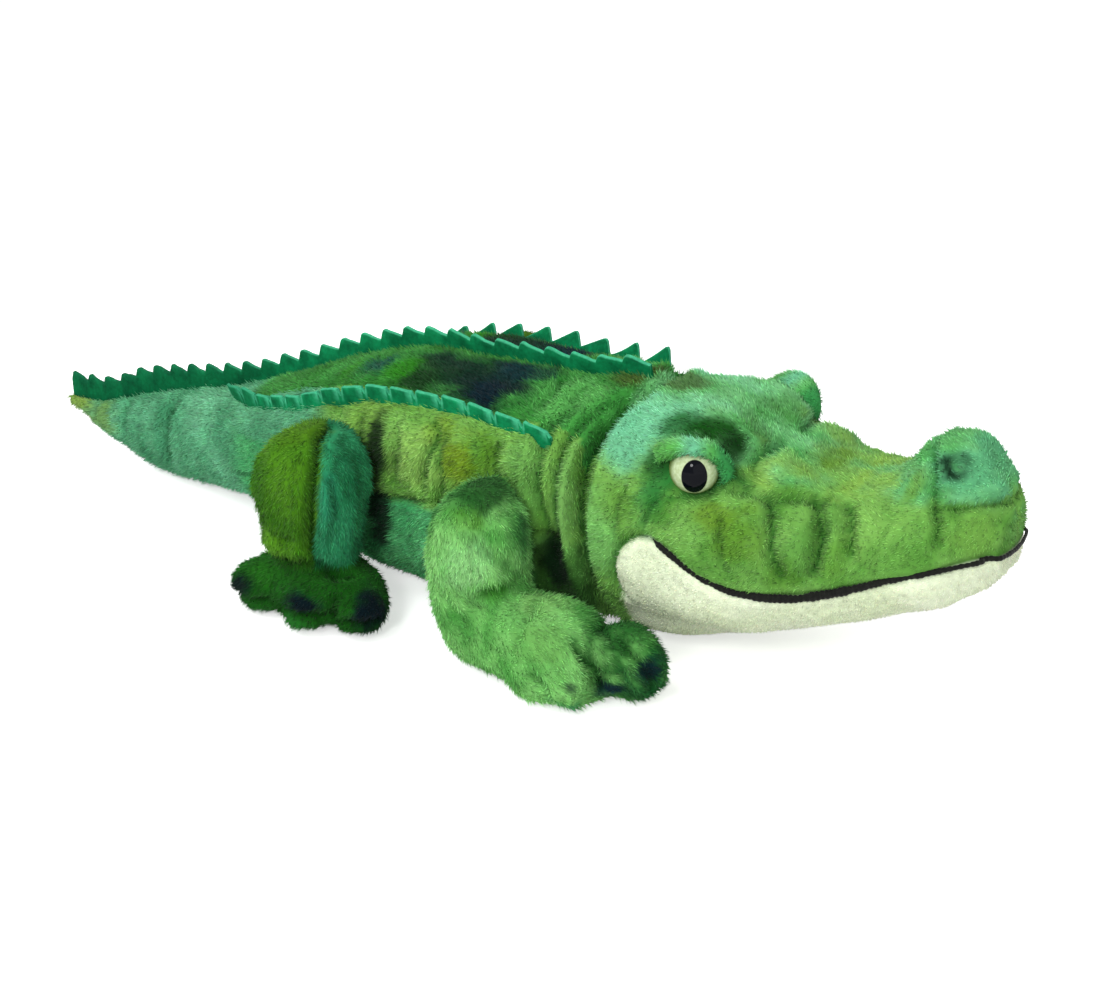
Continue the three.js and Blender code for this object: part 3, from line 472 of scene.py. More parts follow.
before = grid.reshape(-1, 3)
moves = relief(before, laid_on(SPINE_FOLDS, before, before), SPINE_SWELLS, spine_lumps, 3) - pile_height
flat = with_sockets(before + ring_normals(grid).reshape(-1, 3) * moves[:, None])
# The fold paths laid on the worked skin, for the painted shade in the folds.
SPINE_CREASES = laid_on(SPINE_FOLDS, before, flat)
flat[:, 2] = np.maximum(flat[:, 2], over_floor)
skin = flat.reshape(grid.shape)
skin_centre_z, skin_half = centre_z, np.abs(skin[:, :, 1]).max(1)
nose_rise, nose_rings, tip_rise, tip_rings = 1.6 * MM, 12, -1.2 * MM, 4
skin = domed(skin, nose_rise, nose_rings, at_start=False)
skin = domed(skin, tip_rise, tip_rings, at_start=True)
print("skin points:", skin.shape[0] * skin.shape[1])

# %% [markdown]
# Every piece is built from arrays of points and faces. Adding faces one by one, as a modeller would, is far
# too slow for a pile of this many tufts.

# %% Meshes from arrays
def mesh_object(name, points, *face_arrays):
    """A smooth mesh object from an array of points and arrays of faces."""
    mesh = bpy.data.meshes.new(name)
    mesh.vertices.add(len(points))
    mesh.vertices.foreach_set("co", np.asarray(points, np.float32).ravel())
    corners = np.concatenate([faces.ravel() for faces in face_arrays])
    sizes = np.concatenate([np.full(len(faces), faces.shape[1]) for faces in face_arrays])
    mesh.loops.add(len(corners))
    mesh.loops.foreach_set("vertex_index", corners.astype(np.int32))
    mesh.polygons.add(len(sizes))
    starts = np.concatenate([[0], np.cumsum(sizes)[:-1]])
    mesh.polygons.foreach_set("loop_start", starts.astype(np.int32))
    mesh.polygons.foreach_set("use_smooth", np.ones(len(sizes), bool))
    mesh.update(calc_edges=True)
    piece = bpy.data.objects.new(name, mesh)
    bpy.context.scene.collection.objects.link(piece)
    return piece


def ring_faces(rows, columns):
    """Quads between the rings of a grid, and the two caps."""
    a = np.arange(rows - 1)[:, None] * columns + np.arange(columns)[None]
    b = np.arange(rows - 1)[:, None] * columns + (np.arange(columns)[None] + 1) % columns
    quads = np.stack([a, a + columns, b + columns, b], 2).reshape(-1, 4)
    first = np.arange(columns)[None]
    last = (rows - 1) * columns + np.arange(columns)[::-1][None]
    return quads, first, last


def paint(piece, colours):
    """Stores one colour per point for the material to read."""
    layer = piece.data.color_attributes.new("dye_and_painted_light", "FLOAT_COLOR", "POINT")
    four = np.concatenate([colours, np.ones((len(colours), 1))], 1)
    layer.data.foreach_set("color", four.astype(np.float32).ravel())


# %% [markdown]
# Plush is dyed in soft patches. Each patch is written as a colour, a strength, a place and a size, and its
# edge is frayed with noise. The same function colours the skin and the tufts that grow on it.

# %% Dyes
def dye(code):
    """A colour as it looks on the cloth, as the light values that the renderer works with."""
    values = np.array([int(code[i:i + 2], 16) / 255 for i in (1, 3, 5)])
    return np.where(values <= 0.04045, values / 12.92, ((values + 0.055) / 1.055) ** 2.4)


def between(low, high, share):
    """Colours from low to high, point by point."""
    return low + share[:, None] * (high - low)


def mottled(low, high, points, cell, seed):
    """A cloth that wavers between two dyes."""
    grain = 0.6 * soft_noise(points, cell * MM, seed) + 0.3 * soft_noise(points, cell * MM / 3, seed + 1)
    return between(dye(low), dye(high), np.clip(0.5 + grain, 0, 1))


def patched(colours, points, table, seed):
    """Colours with the patches of a table laid over them."""
    side = one_side(points)
    fray = (0.34 * soft_noise(side, 8 * MM, seed) + 0.24 * soft_noise(side, 3.5 * MM, seed + 1)
            + 0.1 * soft_noise(side, 1.5 * MM, seed + 2))
    for code, strength, place, size in table:
        away = np.linalg.norm((side / MM - np.array(place)) / np.array(size), axis=1) + fray
        colours = between(colours, dye(code), strength * (1 - step(away, 0.5, 1.32)))
    return colours


# %% [markdown]
# The patches are written for one side, and the other side mirrors them. Places and sizes are in mm, and a
# later patch covers an earlier one. The hollows in front of the legs get painted shadow: dark patches.

# %% Patches of the long skin
BACK_PATCHES = [
    ("#092c22", 0.95, (22, 22, 92), (27, 20, 12)),
    ("#092c22", 0.95, (40, 30, 89), (17, 12, 10)),
    ("#103c12", 0.9, (8, 30, 89), (13, 12, 9)),
    ("#03202a", 0.98, (42, 33, 88), (8, 9, 8)),
    ("#0c3236", 0.95, (44, 10, 92), (12, 9, 8)),
    ("#124a48", 0.8, (-17, 23, 87), (9, 10, 7)),
    ("#2f8a18", 0.85, (-3, 27, 89), (7, 10, 7)),
    ("#34861a", 0.7, (-31, 22, 84), (8, 12, 8)),
    ("#2f7a2a", 0.6, (-58, 14, 74), (16, 12, 9)),
    ("#5dad56", 0.85, (72, 24, 90), (12, 16, 10)),
    ("#465a20", 0.85, (88, 4, 96), (12, 9, 8)),
]
FLANK_PATCHES = [
    ("#76961a", 0.85, (40, 50, 67), (8, 9, 11)),
    ("#7fa62c", 0.7, (32, 50, 74), (8, 10, 8)),
    ("#5a8a1c", 0.6, (53, 50, 66), (6, 9, 14)),
    ("#8fbf5c", 0.85, (18, 51, 62), (12, 10, 14)),
    ("#7fb04a", 0.8, (-6, 49, 74), (13, 10, 9)),
    ("#7ab45e", 0.8, (84, 48, 63), (5, 12, 24)),
    ("#68a650", 0.7, (68, 48, 66), (7, 10, 16)),
]
# Painted shadow in the hollows in front of the legs.
PAINTED_SHADOW_PATCHES = [
    ("#0c2412", 0.93, (3, 51, 66), (5, 8, 20)),
    ("#071f12", 0.95, (3, 50, 36), (6, 8, 17)),
    ("#24521c", 0.9, (84, 44, 24), (15, 16, 16)),
    ("#0a2210", 0.95, (82, 48, 36), (7, 9, 15)),
]
TAIL_PATCHES = [
    ("#74bd92", 0.7, (-128, 20, 46), (18, 14, 12)),
    ("#3f8a60", 0.6, (-152, 18, 26), (7, 14, 20)),
    ("#63b083", 0.6, (-172, 14, 34), (12, 12, 10)),
    ("#7aa650", 0.75, (-204, 12, 25), (16, 12, 13)),
    ("#86a840", 0.9, (-224, 4, 25), (13, 8, 11)),
]
HEAD_PATCHES = [
    ("#74c79c", 0.85, (102, 32, 84), (12, 18, 13)),
    ("#7fd0a0", 0.8, (112, 24, 93), (14, 12, 8)),
    ("#4fa05c", 0.7, (118, 47, 68), (6, 8, 10)),
    ("#7cc066", 0.85, (98, 48, 52), (8, 10, 18)),
    ("#5f9434", 0.6, (105, 49, 64), (8, 10, 8)),
    ("#3f7f28", 0.8, (121, 48, 66), (9, 9, 8)),
    # Painted shade round the eye, in its socket.
    ("#246a28", 0.8, (131, 37, 78), (12.5, 10, 11.5)),
    ("#2a7a34", 0.8, (119, 44, 74), (7, 8, 9)),
    ("#257030", 0.85, (121, 29, 90), (9, 7, 7)),
    # Painted shade in the hollows over and ahead of the eye.
    ("#0f4a0a", 0.95, (130, 28, 91), (11, 7, 6.5)),
    ("#0b340c", 0.96, (141, 30, 87), (7, 7, 8)),
    ("#1f6424", 0.85, (145, 34, 79), (6, 7, 7)),
    ("#245c24", 0.8, (116, 41, 80), (5, 7, 7)),
    ("#6f9a30", 0.8, (141, 42, 66), (9, 8, 5)),
    ("#4a8a40", 0.7, (142, 10, 91), (12, 9, 8)),
    ("#4a6a34", 0.8, (106, 2, 97), (12, 8, 7)),
    ("#80ca92", 0.85, (126, 12, 97), (14, 8, 8)),
    ("#80b456", 0.8, (156, 20, 84), (9, 12, 7)),
    ("#a0c85c", 0.6, (150, 26, 80), (6, 6, 6)),
    ("#7fae48", 0.8, (170, 14, 80), (12, 16, 7)),
    ("#5a8420", 0.7, (163, 6, 82), (7, 8, 6)),
    ("#8fbc50", 0.8, (184, 12, 82), (10, 14, 8)),
    ("#5c8c26", 0.7, (150, 43, 62), (9, 9, 10)),
    ("#3c7f2c", 0.5, (170, 38, 58), (6, 9, 10)),
    ("#4a7f1e", 0.6, (166, 39, 50), (5, 9, 7)),
    ("#5f9c34", 0.7, (181, 34, 58), (4, 8, 9)),
    ("#82ba58", 0.8, (190, 26, 70), (10, 12, 10)),
    ("#74a23c", 0.6, (199, 20, 82), (4, 9, 8)),
    ("#5cac78", 0.93, (217, 10, 90), (15, 18, 9.5)),
    ("#74ac48", 0.8, (220, 20, 70), (8, 12, 7)),
    ("#46a25c", 0.8, (232, 6, 76), (4, 12, 12)),
    # Painted shade in the nostril.
    ("#031a0c", 0.98, nostril_place, (5.4, 5.6, 5.6)),
]


# %% Where each dye goes
def mouth_height(x):
    """The height of the mouth line, with x in mm."""
    return np.interp(x, *zip(*MOUTH_LINE))


def over_mouth(points):
    """How far a point lies over the mouth line, in mm."""
    return points[:, 2] / MM - mouth_height(points[:, 0] / MM)


def on_jaw(points):
    """1 on the pale cloth of the jaw, 0 elsewhere, with a soft edge. Its rear end is round, and cut below."""
    x, _, z = points.T / MM
    round_x, round_z, long, tall, cut_z, cut_x = 121, 38, 15.5, 17, 30, (106, 108)
    below = step(mouth_height(x) - z, -0.5, 0.5)
    rear = np.linalg.norm(np.stack([(x - round_x) / long, (np.minimum(z, 60) - round_z) / tall]), axis=0)
    inside = np.where(x < round_x, 1 - step(rear, 0.96, 1.02), 1)
    inside = np.where((x < round_x) & (z < cut_z), step(x, *cut_x), inside)
    return below * inside


def with_painted_crease_shade(colours, points, folds):
    """Painted shade in the folds: the colours darken the deeper a point lies in one."""
    deep = pressed(points, folds)[:, None]
    return colours * (1 - deep * np.array([0.72, 0.55, 0.66]))


def spine_colours(points):
    """Dyes of the long skin, panel by panel, with their patches, painted shadow beside the legs, painted
    shade round the eye and in the nostril, and painted shade in the folds.
    """
    x, y, z = points.T / MM
    middle = np.interp(x * MM, ring_x, skin_centre_z) / MM
    half = np.interp(x * MM, ring_x, skin_half) / MM
    waver = 3 * soft_noise(points, 9 * MM, 15)
    crest_share = np.interp(x, (-110, -55, 15, 90), (0.62, 0.69, 0.75, 0.78))
    back = patched(mottled("#2e7f2e", "#499e46", points, 12, 31), points, BACK_PATCHES, 41)
    flank = patched(mottled("#5e9939", "#84be5b", points, 12, 33), points, FLANK_PATCHES, 43)
    belly = mottled("#3fa15f", "#67cb81", points, 12, 35)
    tail = patched(mottled("#469969", "#6bbd8d", points, 12, 37), points, TAIL_PATCHES, 45)
    flank = between(flank, tail, step(-x + 1.5 * waver, 22, 42))
    crown = mottled("#56a758", "#7ec885", points, 9, 39)
    cheek = mottled("#59963b", "#80ba5a", points, 10, 47)
    body = np.where(((np.abs(y) < crest_share * half) & (z > middle))[:, None], back, flank)
    body = between(body, belly, (1 - step(z + 0.4 * waver, 43, 46)) * (1 - 0.85 * step(x, 66, 74)))
    # Painted shadow in the hollows in front of the legs.
    body = patched(body, points, PAINTED_SHADOW_PATCHES, 53)
    body = between(body, tail, step(-x + waver, 84, 100))
    seam = np.interp(x, (94, 115, 145, 170, 200, 230), (83, 84, 78, 75, 78, 80))
    head = between(cheek, crown, step(z + 0.3 * waver, seam - 1.5, seam + 1.5))
    head = patched(head, points, HEAD_PATCHES, 49)
    head = between(head, mottled("#e4f2ca", "#edf8d8", points, 14, 51), on_jaw(points))
    # Painted shade darkens the folds.
    return with_painted_crease_shade(between(body, head, step(x, 91, 93)), points, SPINE_CREASES)


# %% [markdown]
# The pile is short: about 3 mm, and 1 mm on the jaw. It could be grown with a hair system, but then the toy
# would be bald in a file for print or for a game. So each tuft is a small closed spike of real mesh, rooted
# in the skin and laid over with the nap. Its root is painted darker, as painted shade between the tufts, and
# its tip lighter and whiter, as a painted sheen.
# Each tuft also gets its own small square of a flat map, so that its colours can be baked.

# %% Pile
def laid(points, normals, nap, seed):
    """The way the tufts point: along the nap, stroked a little this way and that."""
    stroke, strayed = 9 * MM, 0.55
    stray = np.stack([soft_noise(points, stroke, seed + k) for k in range(3)], 1)
    way = unit(nap) + strayed * stray
    return unit(way - (way * normals).sum(1, keepdims=True) * normals)


def split_quads(quads):
    """Two triangles for each quad."""
    return np.concatenate([quads[:, [0, 1, 2]], quads[:, [0, 2, 3]]])


def scattered(points, triangles, per_mm2, rng):
    """Random places on triangles, with the normals there."""
    a, b, c = (points[triangles[:, k]] for k in range(3))
    cross = np.cross(b - a, c - a)
    area = np.linalg.norm(cross, axis=1) / 2
    count = np.floor(area / MM ** 2 * per_mm2((a + b + c) / 3) + rng.random(len(area))).astype(int)
    pick = np.repeat(np.arange(len(triangles)), count)
    u, v = rng.random((2, len(pick), 1))
    u, v = np.where(u + v > 1, 1 - u, u), np.where(u + v > 1, 1 - v, v)
    places = a[pick] + u * (b - a)[pick] + v * (c - a)[pick]
    return places, cross[pick] / np.maximum(2 * area, 1e-18)[pick, None]


def tuft_map(piece, count):
    """A flat map with a small square for each tuft, and a corner of it for each of its four sides."""
    cells = math.ceil(math.sqrt(count))
    tuft = np.tile(np.arange(count), 4)
    side = np.repeat(np.arange(4), count)
    low = np.stack([tuft % cells + 0.5 * (side % 2), tuft // cells + 0.5 * (side // 2)], 1)
    corners = low[:, None] + 0.5 * np.array([(0.1, 0.1), (0.9, 0.1), (0.5, 0.9)])
    layer = piece.data.uv_layers.new(name="OFBake")
    layer.data.foreach_set("uv", (corners / cells).astype(np.float32).ravel())


def tuft_corners(root, normal, way, long, wide, rng):
    """The four corners of each tuft: three under the skin, and its tip."""
    count, root_depth, lowest = len(root), 0.4 * MM, 0.1 * MM
    lift = rng.uniform(0.25, 0.6, (count, 1))
    way = unit(way * (1 - 0.4 * lift) + normal * lift + rng.normal(0, 0.2, (count, 3)))
    side = unit(np.cross(way, normal))
    rise = np.cross(side, way)
    half = 0.5 * wide * rng.uniform(0.7, 1.3, (count, 1))
    sunk = root - root_depth * normal
    tip = root + way * long[:, None] * rng.uniform(0.7, 1.2, (count, 1))
    corners = np.stack([sunk + half * side, sunk - 0.5 * half * side + 0.8 * half * rise,
                        sunk - 0.5 * half * side - 0.8 * half * rise, tip], 1)
    corners[:, :, 2] = np.maximum(corners[:, :, 2], lowest)
    return corners


def tuft_dyes(root, hair, rng, seed):
    """The colours of each tuft's four corners, in clumps and tuft by tuft. Pale hair wavers less. The roots
    get painted shade, and the tip a painted sheen.
    """
    calm = 1 - 0.7 * step(hair[:, 0], 0.45, 0.75)
    streak = root * np.array([0.5, 1, 1])
    clump = 0.2 * soft_noise(streak, 2.4 * MM, seed) + 0.12 * soft_noise(root, 6 * MM, seed + 1)
    shade = (1 + calm * clump) * (1 + calm * rng.normal(0, 0.2, len(root)))
    shade = shade[:, None] * (1 + rng.normal(0, 0.04, (len(root), 3)))
    hair, calm = np.clip(hair * np.clip(shade, 0.4, 1.8), 0, 1), calm[:, None]
    # Painted sheen: the tip is lighter and whiter than the hair. Painted shade: the three root corners are
    # darker.
    tip = hair * (1.05 + 0.2 * calm) + 0.12 * calm * hair.mean(1, keepdims=True)
    return np.stack([hair * (0.9 - 0.2 * calm)] * 3 + [np.clip(tip, 0, 1)], 1).reshape(-1, 3)


def grow_pile(name, points, quads, colours_of, nap_of, density, length, width, seed):
    """A piece made of tufts on the quads of a skin. Density in tufts per square mm, sizes in mm."""
    rng = np.random.default_rng(seed)
    root, normal = scattered(points, split_quads(quads), density, rng)
    way = laid(root, normal, nap_of(root), seed + 50)
    corners = tuft_corners(root, normal, way, length(root) * MM, width * MM, rng)
    first = 4 * np.arange(len(root))[:, None]
    faces = np.concatenate([first + np.array(f) for f in ([0, 1, 3], [1, 2, 3], [2, 0, 3], [2, 1, 0])])
    piece = mesh_object(name, corners.reshape(-1, 3), faces)
    paint(piece, tuft_dyes(root, colours_of(root), rng, seed + 60))
    tuft_map(piece, len(root))
    piece.data.materials.append(plush)
    return piece


# %% [markdown]
# All the plush shares one material. It reads the colour of each point, dye with its painted shade and
# highlights, breaks it up with a fine grain, and is rough, with a little sheen where the light grazes the
# fibres.

# %% Plush material
def linked_noise(tree, scale, low, high):
    """A noise in the toy's own space that runs from low to high."""
    place = add_node(tree, "TexCoord").outputs["Object"]
    noise = add_node(tree, "TexNoise", inputs={"Scale": scale, "Detail": 3, "Vector": place})
    reach = {"Value": noise.outputs["Fac"], "From Min": 0.3, "From Max": 0.7, "To Min": low, "To Max": high}
    return add_node(tree, "MapRange", inputs=reach).outputs["Result"]


def dyed_material(name, scale, contrast, roughness, sheen, bump=0.0):
    """Cloth that takes its colour from the dyes, with the painted shade and highlights among them."""
    material, tree = new_material(name)
    read = add_node(tree, "Attribute", {"attribute_name": "dye_and_painted_light"}).outputs["Color"]
    grain = linked_noise(tree, scale, 1 - contrast, 1 + contrast)
    tint = add_node(tree, "VectorMath", {"operation": "SCALE"}, {0: read, "Scale": grain})
    cloth = add_node(tree, "BsdfPrincipled", inputs={
        "Base Color": tint.outputs["Vector"], "Roughness": roughness, "Specular IOR Level": 0.05,
        "Sheen Weight": sheen, "Sheen Roughness": 0.5})
    if bump:
        height = linked_noise(tree, 3 * scale, 0, 1)
        rough = add_node(tree, "Bump", inputs={"Strength": bump, "Distance": 0.3 * MM, "Height": height})
        tree.links.new(rough.outputs["Normal"], cloth.inputs["Normal"])
    add_node(tree, "OutputMaterial", inputs={"Surface": cloth.outputs[0]})
    return material


plush = dyed_material("green_plush", 420, 0.12, 0.95, 0.03)

# %% [markdown]
# The long skin is cut into stretches where the toy bends, and each stretch is closed at its ends. Two
# neighbours share their cut ring, so that no gap opens between them. The stretches on the torso ride on it,
# and a stretch that crosses a joint is left on no body.

# %% The six stretches
def spine_nap(points):
    """The nap lies toward the tail, and down at the sides."""
    x, y, z = points.T / MM
    down = np.where(z > 80, 0.1, 0.45)
    return np.stack([-np.ones(len(x)), 0.1 * np.sign(y), -down], 1)


def spine_length(points):
    """Tuft length in mm: short on the jaw, on the nose, and where the neck turns beside the forelegs."""
    x = points[:, 0] / MM
    length = 2.9 - 0.5 * step(x, 90, 96) - 0.4 * step(x, 150, 170)
    beside_leg = step(x, 62, 70) * (1 - step(x, 92, 100)) * step(np.abs(points[:, 1]) / MM, 40, 46)
    length = length - 1.5 * beside_leg * (1 - step(points[:, 2] / MM, 58, 68))
    length = length - 0.9 * (1 - step(over_mouth(points), 2.5, 5)) * (x > 116)
    return between(length[:, None], np.array([1.1]), on_jaw(points))[:, 0]


def spine_density(points):
    """Fewer tufts underneath, more on the jaw, and none round the eye, under the thread or in the nostril."""
    bare_round_eye, bare_nostril, thread_from, floor_near = 9.3 * MM, 3.8, 118 * MM, 4 * MM
    beside, ahead = eye_places(points)
    over = over_mouth(points)
    nostril = np.linalg.norm(one_side(points) / MM - np.array(nostril_place), axis=1)
    clear = (beside > bare_round_eye) | (np.abs(ahead) > socket_deep)
    under_thread = (points[:, 0] > thread_from) & (over > -0.9) & (over < 1.9)
    clear = clear & ~under_thread & (nostril > bare_nostril)
    full = np.where(points[:, 0] > 93 * MM, 1.02, 1.15)
    return np.where(points[:, 2] < floor_near, 0.4, full) * clear * (1 + 0.75 * on_jaw(points))


STRETCHES = {
    "tail_tip": (-240, -150), "tail_root": (-150, -106), "torso_rear": (-106, -20), "torso_front": (-20, 66),
    "neck": (66, 93), "head": (93, 240),
}
BLENDS = {
    "tail_tip": ("tail_front", "tail_tip", -150, -178),
    "tail_root": ("torso", "tail_front", -112, -146),
    "neck": ("torso", "neck", 66, 93),
    "head": ("neck", "head", 93, 120),
}
STANDS_FOR = {
    "tail_tip": ("tail_rear_skin", "tail_rear_filling"),
    "tail_root": ("tail_front_skin", "tail_front_filling"),
    "torso_rear": ("back_panel", "flank_panel"),
    "torso_front": ("belly_panel", "torso_filling"),
    "neck": ("neck_",),
    "head": ("crown", "cheek", "throat", "jaw", "head_filling", "nose_knob", "nostril"),
}


def carry(piece, stretch):
    """The piece rides on the torso, or, where its stretch crosses a joint, on no body."""
    if stretch not in BLENDS:
        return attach(piece, "torso")
    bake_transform(piece)


spine_x = skin[:, :, 0].mean(1) / MM
# The first value darkens the skin under the pile, as painted shade between the tufts.
painted_skin_shade, tuft_width = 0.72, 0.56
for number, (stretch, (start, end)) in enumerate(STRETCHES.items()):
    first_ring, last_ring = (int(np.argmin(np.abs(spine_x - x))) for x in (start, end))
    points = skin[first_ring:last_ring + 1].reshape(-1, 3)
    quads, first, last = ring_faces(last_ring + 1 - first_ring, around)
    body = mesh_object(stretch + "_skin", points, quads, first, last)
    body.data.materials.append(plush)
    paint(body, spine_colours(points) * painted_skin_shade)
    pile = grow_pile(stretch + "_pile", points, quads, spine_colours, spine_nap, spine_density,
                     spine_length, tuft_width, 100 + number)
    carry(body, stretch)
    carry(pile, stretch)
    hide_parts(*[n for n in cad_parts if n.startswith(STANDS_FOR[stretch])])
    print(stretch, "quads:", len(quads), "tufts:", len(pile.data.polygons) // 4)

# %% [markdown]
# Each leg has several solids: its cloth, its filling, and on a hind leg the foot. A voxel remesh melts
# them into one skin, which is smoothed and drawn in by the height of the pile. Seams and toe stitches come
# after it, because a remesh would wash them out. A leg is one stuffed tube that swings at the hip or the
# shoulder, so it rides on its own body.

# %% Skins of the legs
def largest_island(mesh):
    """Keeps the outermost shell of a remeshed solid."""
    shape = bmesh.new()
    shape.from_mesh(mesh)
    left, best = set(shape.verts), []
    while left:
        seed = left.pop()
        island, edge = [seed], [seed]
        while edge:
            vertex = edge.pop()
            for link in vertex.link_edges:
                other = link.other_vert(vertex)
                if other in left:
                    left.remove(other)
                    island.append(other)
                    edge.append(other)
        best = island if len(island) > len(best) else best
    keep = set(best)
    bmesh.ops.delete(shape, geom=[v for v in shape.verts if v not in keep], context="VERTS")
    shape.to_mesh(mesh)
    shape.free()


def melted(name, nodes, voxel, passes):
    """One smooth closed skin round several solids, as points, normals and quads."""
    points, triangles = node_arrays(nodes)
    piece = mesh_object(name, points, triangles)
    remesh = piece.modifiers.new("melt", "REMESH")
    remesh.mode, remesh.voxel_size = "VOXEL", voxel * MM
    soften = piece.modifiers.new("soften", "SMOOTH")
    soften.factor, soften.iterations = 0.5, passes
    seen = piece.evaluated_get(bpy.context.evaluated_depsgraph_get())
    mesh = bpy.data.meshes.new_from_object(seen)
    bpy.data.objects.remove(piece)
    largest_island(mesh)
    places = np.zeros(3 * len(mesh.vertices))
    normals = np.zeros(3 * len(mesh.vertices))
    mesh.vertices.foreach_get("co", places)
    mesh.vertex_normals.foreach_get("vector", normals)
    quads = np.array([list(p.vertices) for p in mesh.polygons])
    bpy.data.meshes.remove(mesh)
    return places.reshape(-1, 3), normals.reshape(-1, 3), quads


# %% [markdown]
# The folds, swells and patches of the legs are written for the left side. A fold has a width, a depth and a
# path, a swell has a height, a place and a size, and a patch has a colour, a strength, a place and a size.

# %% Folds, swells and patches of the legs
FORELEG_FOLDS = [
    # the crook between the upper arm and the forearm
    (3.2, 1.7, [(65, 84, 58), (71, 82, 54), (77, 77, 47), (81, 70, 40), (80, 62, 34)]),
    (2.0, 1.6, [(72, 84, 33), (75, 80, 36), (79, 72, 36), (81, 62, 33)]),
    (1.8, 1.6, [(86, 67, 33), (91, 77, 31), (92, 84, 27), (90, 90, 18)]),
    (1.8, 1.4, [(52, 86, 40), (60, 89, 30), (70, 90, 22)]),
    # between the toes
    (2.4, 5.0, [(105, 76, 27), (110, 78, 24), (115, 77, 19), (119, 77, 12), (120, 76, 3)]),
    (1.9, 2.6, [(118, 66, 24), (124, 66, 20), (131, 66, 13), (134, 66, 3)]),
    (1.6, 2.4, [(96, 88, 16), (104, 87, 12), (108, 86, 5)]),
]
FORELEG_SWELLS = [
    (2.2, (66, 84, 45), (13, 9, 12)),
    (2.8, (80, 72, 56), (8, 9, 14)),
    (2.2, (60, 80, 64), (11, 9, 6)),
    (4.4, (106, 64, 31), (16, 13, 8)),
    (5.0, (122, 64, 23), (13, 13, 9)),
    (3.0, (130, 66, 16), (8, 10, 9)),
    (2.6, (98, 82, 24), (9, 8, 8)),
    (1.8, (112, 86, 12), (8, 7, 8)),
    (-2.4, (115, 90, 13), (2.6, 2.6, 2.6)),
    (-2.4, (131, 72, 17), (3, 3, 3)),
]
FORELEG_PATCHES = [
    ("#1b4f1d", 0.88, (64, 68, 67), (17, 15, 10)),
    ("#2c6e34", 0.8, (48, 76, 60), (8, 8, 10)),
    ("#4f8a22", 0.6, (68, 82, 62), (9, 6, 5)),
    # Painted shade on the side of the upper arm that faces the neck.
    ("#205a2a", 0.8, (84, 66, 54), (8, 12, 15)),
    # A painted highlight on the bulge of the forearm under the crook.
    ("#8fcf80", 0.95, (68, 84, 45), (12, 9, 10)),
    ("#3a8a34", 0.8, (64, 90, 22), (14, 8, 10)),
    ("#3f8a2a", 0.8, (76, 78, 36), (5, 7, 4)),
    ("#83c06a", 0.85, (92, 72, 32), (9, 10, 5)),
    ("#6fae58", 0.8, (100, 84, 24), (10, 8, 8)),
    ("#15581c", 0.92, (121, 64, 20), (18, 15, 17)),
    ("#195a2a", 0.9, (129, 64, 12), (9, 13, 12)),
    ("#2f8f5c", 0.85, (114, 88, 4), (10, 7, 4)),
    ("#082229", 0.95, (131, 69, 18), (5, 5, 5)),
    ("#0c2a34", 0.97, (124, 76, 8), (7, 5, 5)),
    ("#0e332c", 0.97, (115, 89, 13), (3.4, 3.4, 3.4)),
]
HINDLEG_FOLDS = [
    # the seam between the two panels of the thigh
    (2.2, 4.0, [(-9, 56, 76), (-7, 63, 75), (-5, 71, 74), (0, 79, 67), (1, 83, 61), (1, 85, 50),
                (-1, 85, 36), (-2, 83, 28)]),
    (2.6, 3.4, [(-38, 70, 25), (-30, 84, 25), (-12, 88, 26), (4, 84, 26), (12, 70, 25)]),
    # the groove over the rim of the sole
    (2.0, 3.4, [(-38, 84, 9), (-26, 90, 8), (-13, 91, 9.5), (-2, 92, 10), (7, 89, 10), (15, 87, 10),
                (22, 83, 9), (24, 72, 9)]),
    (1.8, 2.6, [(-18, 84, 18), (-19, 90, 12), (-18, 91, 4)]),
    (1.8, 2.6, [(9, 82, 18), (10, 88, 12), (10, 88, 4)]),
    (1.8, 1.5, [(-30, 72, 66), (-27, 80, 58), (-24, 84, 50)]),
    (1.8, 1.4, [(3, 80, 64), (6, 78, 54), (6, 76, 44)]),
    (1.8, 1.5, [(-22, 82, 40), (-14, 86, 36), (-6, 86, 38)]),
]
HINDLEG_SWELLS = [
    (4.2, (-42, 76, 11), (10, 14, 8)),
    (2.0, (-34, 86, 13), (8, 7, 7)),
    (2.2, (-4, 91, 14), (9, 6, 6)),
    (2.2, (20, 84, 13), (9, 8, 6)),
    (1.6, (-4, 92, 4), (10, 6, 4)),
    (1.8, (-27, 78, 54), (9, 8, 16)),
    (1.8, (4, 78, 56), (6, 9, 16)),
    (-1.6, (-34, 89, 13), (3, 3, 3)),
    (-1.8, (6, 91, 15), (4, 3, 3)),
]
HINDLEG_PATCHES = [
    ("#4c7a16", 0.85, (-16, 72, 76), (12, 12, 6)),
    ("#35700f", 0.7, (-28, 84, 60), (8, 8, 12)),
    # Painted shade on the front edge of the thigh, beside the flank.
    ("#0d3420", 0.85, (14, 70, 52), (4, 14, 26)),
    ("#2a8a64", 0.6, (6, 82, 56), (4, 6, 12)),
    ("#2a8056", 0.7, (6, 82, 38), (4, 6, 8)),
    ("#1a5212", 0.85, (-12, 84, 24), (24, 12, 4)),
    ("#246a18", 0.8, (-24, 82, 20), (9, 8, 6)),
    ("#287a28", 0.9, (-8, 93, 3.5), (30, 7, 4.5)),
    ("#0a1e1c", 0.97, (-34, 90, 12), (6, 6, 4.5)),
    ("#07161f", 0.98, (4, 91, 14.5), (12, 6, 5)),
    ("#07161f", 0.98, (23, 80, 15), (8, 12, 9)),
]

# %% Colours and nap of the legs
leg_creases = {}
